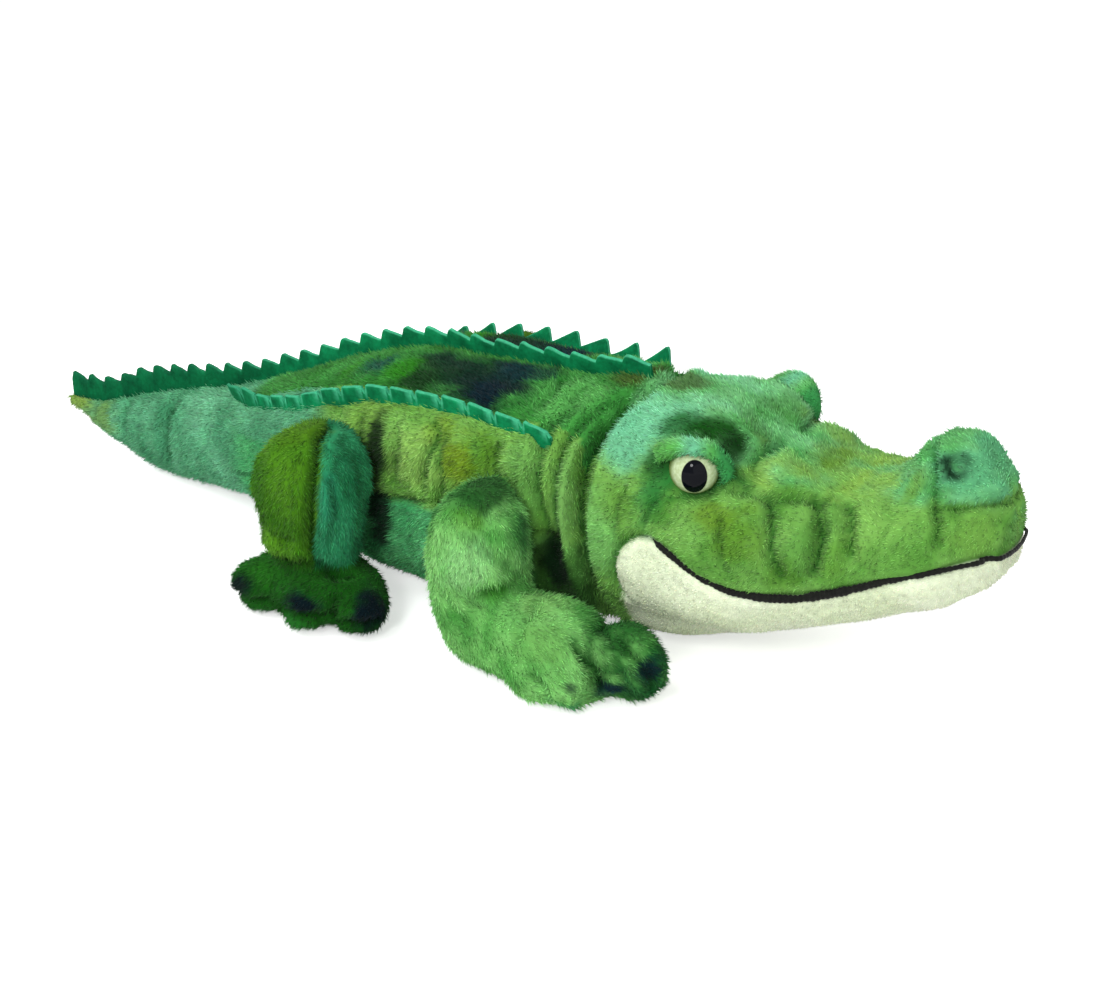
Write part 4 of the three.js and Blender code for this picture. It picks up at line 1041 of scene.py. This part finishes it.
# Heights on the seam of the thigh, with its places along and out there, and the way across it.
THIGH_SEAM = [(28, -2, 83), (36, 0, 85), (50, 4, 85), (61, 4, 83), (67, 1, 79), (74, -5, 71), (76, -7, 60)]
across_seam = (0.834, -0.552)


def foreleg_colours(points):
    """Bright green, with dark patches over the shoulder and the inner toes, painted shade on the side of the
    upper arm that faces the neck, and a painted highlight on the bulge under the crook.
    """
    cloth = mottled("#53a148", "#86cc71", points, 11, 61)
    return with_painted_crease_shade(patched(cloth, points, FORELEG_PATCHES, 63), points, leg_creases["foreleg"])


def hindleg_colours(points):
    """An olive panel behind the seam, a teal one ahead of it, a dark foot, and painted shade on the front
    edge of the thigh, beside the flank.
    """
    x, y, z = points.T / MM
    rear = mottled("#37700f", "#57901f", points, 11, 65)
    front = mottled("#207a4c", "#3ba771", points, 11, 67)
    foot = mottled("#0f410b", "#1f6319", points, 9, 69)
    seam_z, seam_x, seam_y = zip(*THIGH_SEAM)
    ahead, out = x - np.interp(z, seam_z, seam_x), np.abs(y) - np.interp(z, seam_z, seam_y)
    thigh = between(rear, front, step(across_seam[0] * ahead + across_seam[1] * out, -0.6, 0.6))
    leg = patched(between(foot, thigh, step(z, 23.5, 25.5)), points, HINDLEG_PATCHES, 71)
    return with_painted_crease_shade(leg, points, leg_creases["hindleg"])


def foreleg_nap(points):
    """Down the upper arm, then along the paw."""
    ahead = step(45 * MM - points[:, 2], 0, 18 * MM)
    return np.stack([0.15 + 1.2 * ahead, 0.2 * np.sign(points[:, 1]), -1 + 0.75 * ahead], 1)


def hindleg_nap(points):
    """Down the thigh, then out over the foot."""
    out = step(26 * MM - points[:, 2], 0, 8 * MM)
    return np.stack([np.full(len(out), -0.1), (0.1 + 0.8 * out) * np.sign(points[:, 1]), -1 + 0.4 * out], 1)


def leg_density(points):
    """No tufts on the face that lies on the flank or swings past the neck, and few under the foot."""
    beside_neck, beside_flank = 55.5 * MM, 53.2 * MM
    hidden = np.abs(points[:, 1]) < np.where(points[:, 0] > 66 * MM, beside_neck, beside_flank)
    return np.where(points[:, 2] < 2 * MM, 0.3, 1.15) * ~hidden


# %% The four legs
LEGS = {
    "foreleg": (("foreleg_skin", "foreleg_filling"),
                FORELEG_FOLDS, FORELEG_SWELLS, foreleg_colours, foreleg_nap),
    "hindleg": (("hindleg_front_skin", "hindleg_rear_skin", "hindleg_filling", "foot_skin", "foot_filling"),
                HINDLEG_FOLDS, HINDLEG_SWELLS, hindleg_colours, hindleg_nap),
}
voxel_mm, melt_passes, leg_pile_height, leg_tuft_mm, leg_lumps = 1.3, 8, 1.5 * MM, 2.7, 0.7


def leg_moves(points, folds, swells, seed):
    """How far the skin of a leg moves out. The face that lies on the body is drawn in, to swing clear."""
    moves = relief(points, laid_on(folds, points, points), swells, leg_lumps, seed) - leg_pile_height
    flank_gap, neck_gap = 0.4 * MM, 1.8 * MM
    inner_face = 1 - step(np.abs(points[:, 1]), 53.5 * MM, 60 * MM)
    drawn_in = flank_gap + neck_gap * step(points[:, 0], 62 * MM, 72 * MM)
    return moves - inner_face * (moves + drawn_in)


for number, (leg, (nodes, folds, swells, colours_of, nap_of)) in enumerate(LEGS.items()):
    for side in ("left", "right"):
        names = [f"{node}_{side}" for node in nodes]
        before, normals, quads = melted(leg, names, voxel_mm, melt_passes)
        points = before + normals * leg_moves(before, folds, swells, 75 + number)[:, None]
        points[:, 2] = np.maximum(points[:, 2], over_floor)
        # The fold paths laid on this leg, for the painted shade in its folds.
        leg_creases[leg] = laid_on(folds, before, points)
        body = mesh_object(f"{leg}_cloth_{side}", points, quads)
        body.data.materials.append(plush)
        paint(body, colours_of(points) * painted_skin_shade)
        pile = grow_pile(f"{leg}_pile_{side}", points, quads, colours_of, nap_of, leg_density,
                         lambda p: np.full(len(p), leg_tuft_mm), tuft_width,
                         120 + 2 * number + (side == "left"))
        for piece in (body, pile):
            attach(piece, f"{leg}_{side}")
        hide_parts(*names)
        print(body.name, "quads:", len(quads), "tufts:", len(pile.data.polygons) // 4)

# %% [markdown]
# The eyes are moulded plastic domes on stems, pushed through the cloth into a washer. A lathe gives the
# whole eye: dome, rim, flat back and stem. The iris and the oval pupil are painted under the clear face, so
# the material draws them from each point's place on the dome, and a clear coat gives the wet shine.

# %% Eyes
def turned(name, profile, place, axis, across, sides):
    """A lathe form. Each row of the profile is a radius and a height along the axis, in metres."""
    up = np.cross(axis, across)
    angles = np.linspace(0, 2 * math.pi, sides, endpoint=False)
    rings = np.array([[r * (math.cos(a) * across + math.sin(a) * up) + h * axis for a in angles]
                      for r, h in profile])
    quads, first, last = ring_faces(len(profile), sides)
    piece = mesh_object(name, rings.reshape(-1, 3) + place, quads, first, last)
    local = np.array([[r * math.cos(a), r * math.sin(a), h] for r, h in profile for a in angles])
    return piece, local


def eye_material():
    """A pale iris with a darker rim and a black oval pupil, under a clear coat."""
    material, tree = new_material("eye_plastic")
    place = add_node(tree, "Attribute", {"attribute_name": "Face"}).outputs["Vector"]

    def edge(stretch, shift, low, high):
        """0 inside an oval on the face of the eye, 1 outside it, with a soft edge."""
        moved = add_node(tree, "VectorMath", {"operation": "MULTIPLY_ADD"}, {0: place, 1: stretch, 2: shift})
        length = add_node(tree, "VectorMath", {"operation": "LENGTH"}, {0: moved.outputs["Vector"]})
        reach = {"Value": length.outputs["Value"], "From Min": low, "From Max": high}
        return add_node(tree, "MapRange", {"interpolation_type": "SMOOTHSTEP"}, reach).outputs["Result"]

    def mixed(share, *pair):
        """One paint or another. Each is a colour code or an output."""
        first, second = ((*dye(paint), 1) if isinstance(paint, str) else paint for paint in pair)
        return add_node(tree, "Mix", {"data_type": "RGBA"}, {"Factor": share, 6: first, 7: second}).outputs[2]

    pupil_width, pupil_height, pupil_rise = 0.49, 0.66, 0.2
    iris = mixed(linked_noise(tree, 900, 0, 1), "#a0b082", "#bac8a2")
    iris = mixed(edge((1, 1, 0), (0, 0, 0), 0.78, 1.0), iris, "#66763a")
    pupil = edge((1 / pupil_width, 1 / pupil_height, 0), (0.02, -pupil_rise / pupil_height, 0), 1.0, 1.06)
    shell = add_node(tree, "BsdfPrincipled", inputs={
        "Base Color": mixed(pupil, "#04060c", iris), "Roughness": 0.25, "Specular IOR Level": 0.0,
        "Coat Weight": 0.55, "Coat IOR": 1.25, "Coat Roughness": 0.03})
    add_node(tree, "OutputMaterial", inputs={"Surface": shell.outputs[0]})
    return material


eye_finish = eye_material()
dome_steps, eye_sides, rim_drop, stem_radius, stem_end = 26, 64, 1.5 * MM, 2.2 * MM, -9 * MM
dome = [(eye_radius * math.sin(s), eye_radius * math.cos(s) - rim_drop)
        for s in np.linspace(0.02, math.pi / 2, dome_steps)]
stem = [(eye_radius, -rim_drop - 0.8 * MM), (eye_radius - 0.6 * MM, -rim_drop - 1.4 * MM),
        (stem_radius + 0.4 * MM, -rim_drop - 1.5 * MM), (stem_radius, -rim_drop - 1.9 * MM),
        (stem_radius, stem_end), (stem_radius - 0.5 * MM, stem_end - 0.4 * MM)]
for side, mirror in (("left", 1), ("right", -1)):
    flip = np.array([1, mirror, 1])
    axis, across = gaze * flip, unit(beside_gaze * flip)
    eye, local = turned(f"eye_dome_{side}", (dome + stem)[::-1], eye_centre * flip, axis,
                        across * mirror, eye_sides)
    face = eye.data.attributes.new("Face", "FLOAT_VECTOR", "POINT")
    face.data.foreach_set("vector", (local / eye_radius).astype(np.float32).ravel())
    eye.data.materials.append(eye_finish)
    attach(eye, "head")
    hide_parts(f"eye_{side}")
print("eye points:", len(eye.data.vertices))

# %% [markdown]
# The eyelid is a small stuffed roll of plush that hangs over the eye from back to front. It is a thick
# tube swept along an arc round the dome, thin at both ends. Its back runs on into the head, where it is
# sewn in, so each ring is a drop with its tail toward the head.

# %% Eyelids
def swept(name, path, sections):
    """A tube through the points of a path. Sections give each point's ring, relative to it."""
    rings = np.array([p + s for p, s in zip(path, sections)])
    quads, first, last = ring_faces(len(path), len(sections[0]))
    return mesh_object(name, rings.reshape(-1, 3), quads, first, last), rings, quads


def faced_out(piece, rings, quads):
    """Turns the faces of a tube outward, away from the middles of its rings, and gives the quads back."""
    points, middles = rings.reshape(-1, 3), np.repeat(rings.mean(1), rings.shape[1], 0)
    a, b, c = (points[quads[:, k]] for k in range(3))
    if (np.cross(b - a, c - a) * (a - middles[quads[:, 0]])).sum() > 0:
        return quads
    piece.data.flip_normals()
    return quads[:, ::-1]


lid_across = unit(beside_gaze)
lid_up = np.cross(lid_across, gaze)
lid_up = lid_up * np.sign(lid_up[2])


def lid_colours(points):
    """Paler at the top of the arc, as a painted highlight, and darker toward the snout."""
    side = one_side(points)
    cloth = mottled("#58ac48", "#7ac878", side, 6, 81)
    ahead = (side - eye_centre) @ beside_gaze / MM
    # Painted highlight along the top of the arc.
    cloth = between(cloth, dye("#6fc0a0"), 0.7 * np.exp(-((ahead + 0.5) / 4) ** 2))
    return between(cloth, dye("#2f8f4c"), 0.85 * step(ahead, 4, 9))


# Angle round the gaze from the snout over the top, distance from the gaze, half width, and place along it.
LID_ARC = [(-29, 10.6, 1.0, 0), (-12, 10.8, 1.9, 0.5), (5, 10.5, 2.3, 1.5), (40, 8.6, 2.3, 4.2),
           (90, 7.8, 2.4, 5.4), (125, 9.3, 2.8, 3.8), (155, 11.3, 3.0, 0.2), (172, 12.2, 1.6, -2.0)]
# The last value darkens the eyelid's skin under its pile, as painted shade between the tufts.
lid_steps, lid_ring, painted_lid_skin_shade = 56, 24, 0.75


def lid_ring_at(share):
    """The middle of a ring of the eyelid and its drop-shaped section, at a share of the arc."""
    angles, *sizes = zip(*LID_ARC)
    angle = angles[0] + share * (angles[-1] - angles[0])
    reach, half, deep = (float(np.interp(angle, angles, size)) * MM for size in sizes)
    half *= min(1.0, 0.2 + 9 * min(share, 1 - share))
    out = math.cos(math.radians(angle)) * lid_across + math.sin(math.radians(angle)) * lid_up
    tail = min(8.5 * MM, 0.5 * MM + deep + 3.5 * half)
    ring = [half * math.cos(a) * out + (1.25 * half if math.sin(a) > 0 else tail) * math.sin(a) * gaze
            for a in np.linspace(0, 2 * math.pi, lid_ring, endpoint=False)]
    return eye_centre + out * reach + gaze * deep, ring


for side, mirror in (("left", 1), ("right", -1)):
    flip = np.array([1, mirror, 1])
    arc = [lid_ring_at(share) for share in np.linspace(0, 1, lid_steps)]
    body, rings, quads = swept(f"eyelid_roll_{side}", [place * flip for place, _ in arc],
                               [np.array(ring[::mirror]) * flip for _, ring in arc])
    quads, points = faced_out(body, rings, quads), rings.reshape(-1, 3)
    body.data.materials.append(plush)
    paint(body, lid_colours(points) * painted_lid_skin_shade)
    pile = grow_pile(f"eyelid_pile_{side}", points, quads, lid_colours,
                     lambda p: np.tile([-0.9, 0, -0.2], (len(p), 1)), lambda p: np.full(len(p), 1.8),
                     lambda p: np.full(len(p), 2.3), 0.5, 140 + mirror)
    for piece in (body, pile):
        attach(piece, "head")
    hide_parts(f"eyelid_{side}")
print("eyelid tufts:", len(pile.data.polygons) // 4)

# %% [markdown]
# The mouth is a thick line of black thread, sewn on in close satin stitches. It lies in the groove between
# the green cheek and the pale jaw. A tube follows the groove, and its thickness beats with the stitches.

# %% The route of the mouth thread
def skin_side(x, z):
    """The half width of the skin at a place along the toy and a height, in mm."""
    ring = skin[int(np.argmin(np.abs(spine_x - x)))] / MM
    half = ring[ring[:, 1] > 0]
    half = half[np.abs(half[:, 2] - z).argsort()[:6]]
    order = half[:, 2].argsort()
    return float(np.interp(z, half[order, 2], half[order, 1]))


thread_stand, thread_step = 1.0 * MM, 0.3 * MM
snout_turn_x = nose_x / MM - 3.0
line_x = np.linspace(MOUTH_LINE[0][0], snout_turn_x, 90)
near_side = np.array([(x, skin_side(x, mouth_height(x)), mouth_height(x)) for x in line_x]) * MM
near_side = smoothed(near_side, 3, 0)
corner = near_side[-1]
skin_tree = BVHTree.FromPolygons(skin.reshape(-1, 3).tolist(), ring_faces(len(skin), around)[0].tolist())


def front_place(y):
    """The place on the front of the snout, beside the middle seam, where the thread crosses it."""
    place = skin_tree.ray_cast(Vector((ray_start, y, corner[2])), Vector((-1, 0, 0)))[0]
    return place.x, y, mouth_height(place.x / MM) * MM


front = np.array([front_place(corner[1] * math.cos(s)) for s in np.linspace(0, math.pi, 40)[2:-2]])
route = np.concatenate([near_side, front, (near_side * np.array([1, -1, 1]))[::-1]])
reach = np.concatenate([[0], np.cumsum(np.linalg.norm(np.diff(route, axis=0), axis=1))])
even = np.arange(0, reach[-1], thread_step)
route = np.stack([np.interp(even, reach, route[:, k]) for k in range(3)], 1)
route = smoothed(route, 6, 0)
outward = np.stack([np.zeros(len(route)), route[:, 1], 0.2 * np.abs(route[:, 1])], 1)
outward[:, 0] = np.maximum(route[:, 0] - 205 * MM, 0) * 2
outward = unit(outward)
route = route + outward * thread_stand
rise = unit(np.cross(unit(np.gradient(route, axis=0)), outward))

# %% Mouth thread
thread_radius, stitch, thread_sides = 1.25 * MM, 1.7 * MM, 14
full = np.interp(route[:, 0] / MM, (119, 128, 150, 175, 200, 230), (0.5, 0.65, 0.85, 0.95, 0.75, 0.5))
end_fade = full * np.clip(np.minimum(even, even[-1] - even) / (3 * MM), 0.3, 1)
beat = 1 + 0.1 * np.sin(2 * math.pi * even / stitch + 2 * soft_noise(route, 4 * MM, 90))
beat = beat + 0.22 * soft_noise(route, 2.5 * MM, 91)
thread_rings = np.array([[thread_radius * b * f * (1.25 * math.cos(a) * r + 0.85 * math.sin(a) * o)
                          for a in np.linspace(0, 2 * math.pi, thread_sides, endpoint=False)]
                         for b, f, r, o in zip(beat, end_fade, rise, outward)])
thread, rings, quads = swept("mouth_thread", route, thread_rings)
faced_out(thread, rings, quads)
black_thread = dyed_material("black_thread", 900, 0.35, 0.6, 0.1, bump=0.4)
thread.data.materials.append(black_thread)
paint(thread, np.tile(dye("#141512"), (len(thread.data.vertices), 1)))
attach(thread, "head")
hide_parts("mouth_cord")
print("mouth thread in mm:", round(even[-1] / MM))

# %% [markdown]
# Three crests of green felt stand in the seams of the back: one along the middle from the tail's tip to
# the head, and a shorter one on each side. Each is one strip with teeth cut in its free edge, steep at one
# end. The cut edge is paler along the back, and hardly on the tail. The strip is swept along
# its seam, and cut where the skin is cut, so that it bends with it.

# %% Felt crests
felt = dyed_material("crest_felt", 700, 0.2, 0.95, 0.0, bump=0.5)
felt_half = 0.8 * MM
# Rows up a crest: mm under the skin, then shares of its height.
CREST_ROWS = (-2.5, 0, 0.35, 0.7, 0.93, 1.0)
# One tooth each: how far along it, and how high there.
BLOCK_SHARES = [(0.0, 0.0), (0.04, 0.6), (0.07, 1.0), (0.12, 0.985), (0.3, 0.93), (0.6, 0.86),
                (0.86, 0.8), (0.92, 0.4), (0.97, 0.0)]
TOOTH_SHARES = [(0.0, 0.0), (0.05, 0.45), (0.1, 0.85), (0.16, 1.0), (0.24, 0.97), (0.42, 0.72), (0.62, 0.44),
                (0.82, 0.18), (0.96, 0.02)]


def top_seam(x, y):
    """The height of the skin over a place, in mm, with small dips evened out."""
    heights = []
    for near_x in (x - 5, x - 2.5, x, x + 2.5, x + 5):
        ring = skin[int(np.argmin(np.abs(spine_x - near_x)))] / MM
        upper = ring[ring[:, 2] > np.interp(near_x * MM, ring_x, skin_centre_z) / MM]
        order = upper[:, 1].argsort()
        heights.append(np.interp(y, upper[order, 1], upper[order, 2]))
    return float(np.mean(heights))


def crest_columns(start, end, teeth, shares):
    """Places along a crest in mm, with the share of a whole tooth reached at each."""
    pitch = (end - start) / teeth
    return [(start + (k + a) * pitch, b) for k in range(teeth) for a, b in shares] + [(end, 0.0)]


def drawn_through(places, heights):
    """A height in mm that runs through those given at some places."""
    return lambda x: float(np.interp(x, places, heights))


def crest_loop(root, up, tall, wave):
    """The outline of a crest across its strip: up one face and down the other. All sizes in mm."""
    up = unit(np.array(up, float))
    side, half = unit(np.cross(up, (1, 0, 0))), felt_half / MM
    heights = [row if row <= 0 else row * tall for row in CREST_ROWS]
    return [root + up * h + side * (way * half * (0.8 if h == tall else 1) + wave * max(h, 0) / 9)
            for way, rows in ((1, heights), (-1, heights[::-1])) for h in rows]


def crest_colours(points, pale):
    """Darker on the tail than on the back, and pale where the felt is cut."""
    tail, back = (mottled(low, high, points, cell, seed) for low, high, cell, seed in (
        ("#04472a", "#08643a", 5, 83), ("#055733", "#0f824f", 4, 84)))
    cloth = between(tail, back, step(points[:, 0], -120 * MM, -60 * MM))
    return between(cloth, dye("#48b488"), pale.ravel() * 0.8)


def crest(name, columns, root_of, up_of, valley_of, apex_of, cuts, bright_cuts=False):
    """A toothed strip, cut into stretches. The steep cuts of the teeth may be pale too. All sizes in mm."""
    steep = {(x, share) for (x, share), (next_x, _) in zip(columns[1:], columns[2:] + columns[-1:])
             if bright_cuts and 0 < next_x - x < 0.9 and share >= 0.6}
    loops, pale = [], []
    for x, share in columns:
        tall = valley_of(x) + share * (apex_of(x) - valley_of(x))
        loops.append(crest_loop(np.array(root_of(x)), up_of(x), tall, 0.2 * math.sin(0.9 * x)))
        pale_share = float(np.interp(x, (-150, -60), (0.1, 0.95)))
        cut = pale_share * ((x, share) in steep)
        edge = [0, 0, 0.5 * cut, cut, max(cut, 0.04), pale_share]
        pale.append(edge + edge[::-1])
    loops, pale, places, pieces = np.array(loops) * MM, np.array(pale), np.array(columns)[:, 0], []
    for stretch, (low, high) in cuts.items():
        inside = np.flatnonzero((places >= low - 1e-6) & (places <= high + 1e-6))
        if len(inside) < 2:
            continue
        inside = np.arange(max(inside[0] - 1, 0), inside[-1] + 1)
        part = loops[inside]
        quads, first, last = ring_faces(*part.shape[:2])
        piece = mesh_object(f"{name}_{stretch}", part.reshape(-1, 3), quads, first, last)
        faced_out(piece, part, quads)
        paint(piece, crest_colours(part.reshape(-1, 3), pale[inside]))
        piece.data.materials.append(felt)
        piece.data.set_sharp_from_angle(angle=math.radians(50))
        carry(piece, stretch)
        pieces.append(piece)
    return pieces


# %% The three crests
CREST_CUTS = {"tail_tip": (-240, -150), "tail_root": (-150, -106), "torso": (-106, 66), "neck": (66, 96)}
BACK_X = (-230, -200, -165, -130, -100, -40, 0, 90)
BACK_VALLEYS, BACK_APEXES = (10, 10, 9.2, 7, 5.6, 5, 5.4, 5.8), (13.5, 13.5, 13, 11, 10, 9.2, 8.4, 8.2)
back_pieces = crest(
    "back_crest", crest_columns(-228.5, 92, 28, TOOTH_SHARES), lambda x: (x, 0, top_seam(x, 0)),
    lambda x: (0, -0.32 * float(step(np.array(x), -60, 30)), 1),
    drawn_through(BACK_X, BACK_VALLEYS), drawn_through(BACK_X, BACK_APEXES), CREST_CUTS)
for piece, node in zip(back_pieces, ("tail_rear_crest", "tail_front_crest", "back_crest")):
    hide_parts(node)

SIDE_X = (-104, -92, -80, 50, 76)
ROOT_X, ROOT_Y = (-104, -90, -77, -62, -47, -21, 0, 60, 80), (15, 22, 27, 32, 37, 41, 41, 41.5, 42)


def side_root(x, mirror):
    """Where a side crest is sewn in. It runs in toward the middle seam at the tail."""
    y = float(np.interp(x, ROOT_X, ROOT_Y))
    return x, mirror * y, top_seam(min(x, 60), y) - 0.5 - 0.05 * max(0, x - 60)


def side_up(x, mirror):
    """The side crests stand up, and curl back where they end over the tail."""
    return -0.5 * (1 - float(step(np.array(x), -104, -86))), mirror * 0.2, 1


# The right side has low blocks, and the left side has pointed teeth that turn the other way.
pointed = [(1 - a, share) for a, share in reversed(TOOTH_SHARES)]
SIDE_TEETH = {"left": (1, pointed, 13, 4.2, 10.0, 13.0), "right": (-1, BLOCK_SHARES, 15, 3.2, 6.6, 4.6)}
for side, (mirror, shares, teeth, valley, apex, last_apex) in SIDE_TEETH.items():
    side_pieces = crest(
        f"side_crest_{side}", crest_columns(-104, 76, teeth, shares),
        lambda x: side_root(x, mirror), lambda x: side_up(x, mirror),
        drawn_through(SIDE_X, (4.5, 5, valley, valley, 0.8 * valley)),
        drawn_through(SIDE_X, (8, 8.5, apex, apex, last_apex)),
        {"torso": (-106, 66), "neck": (66, 96)}, bright_cuts=side == "right")
    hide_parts(f"side_crest_{side}")
print("crest pieces:", [p.name for p in back_pieces + side_pieces])

# %% [markdown]
# The washers stay as the frame has them, out of sight inside the head. They get a plain moulded finish.

# %% Washers
def moulded_material():
    """Plain grey plastic with a faint grain."""
    material, tree = new_material("washer_plastic")
    grain = linked_noise(tree, 600, 0.6, 0.7)
    shell = add_node(tree, "BsdfPrincipled", inputs={"Base Color": grain, "Roughness": 0.45})
    add_node(tree, "OutputMaterial", inputs={"Surface": shell.outputs[0]})
    return material


washer_finish = moulded_material()
for side in ("left", "right"):
    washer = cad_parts[f"eye_washer_{side}"]
    for slot in washer.material_slots:
        slot.material = washer_finish
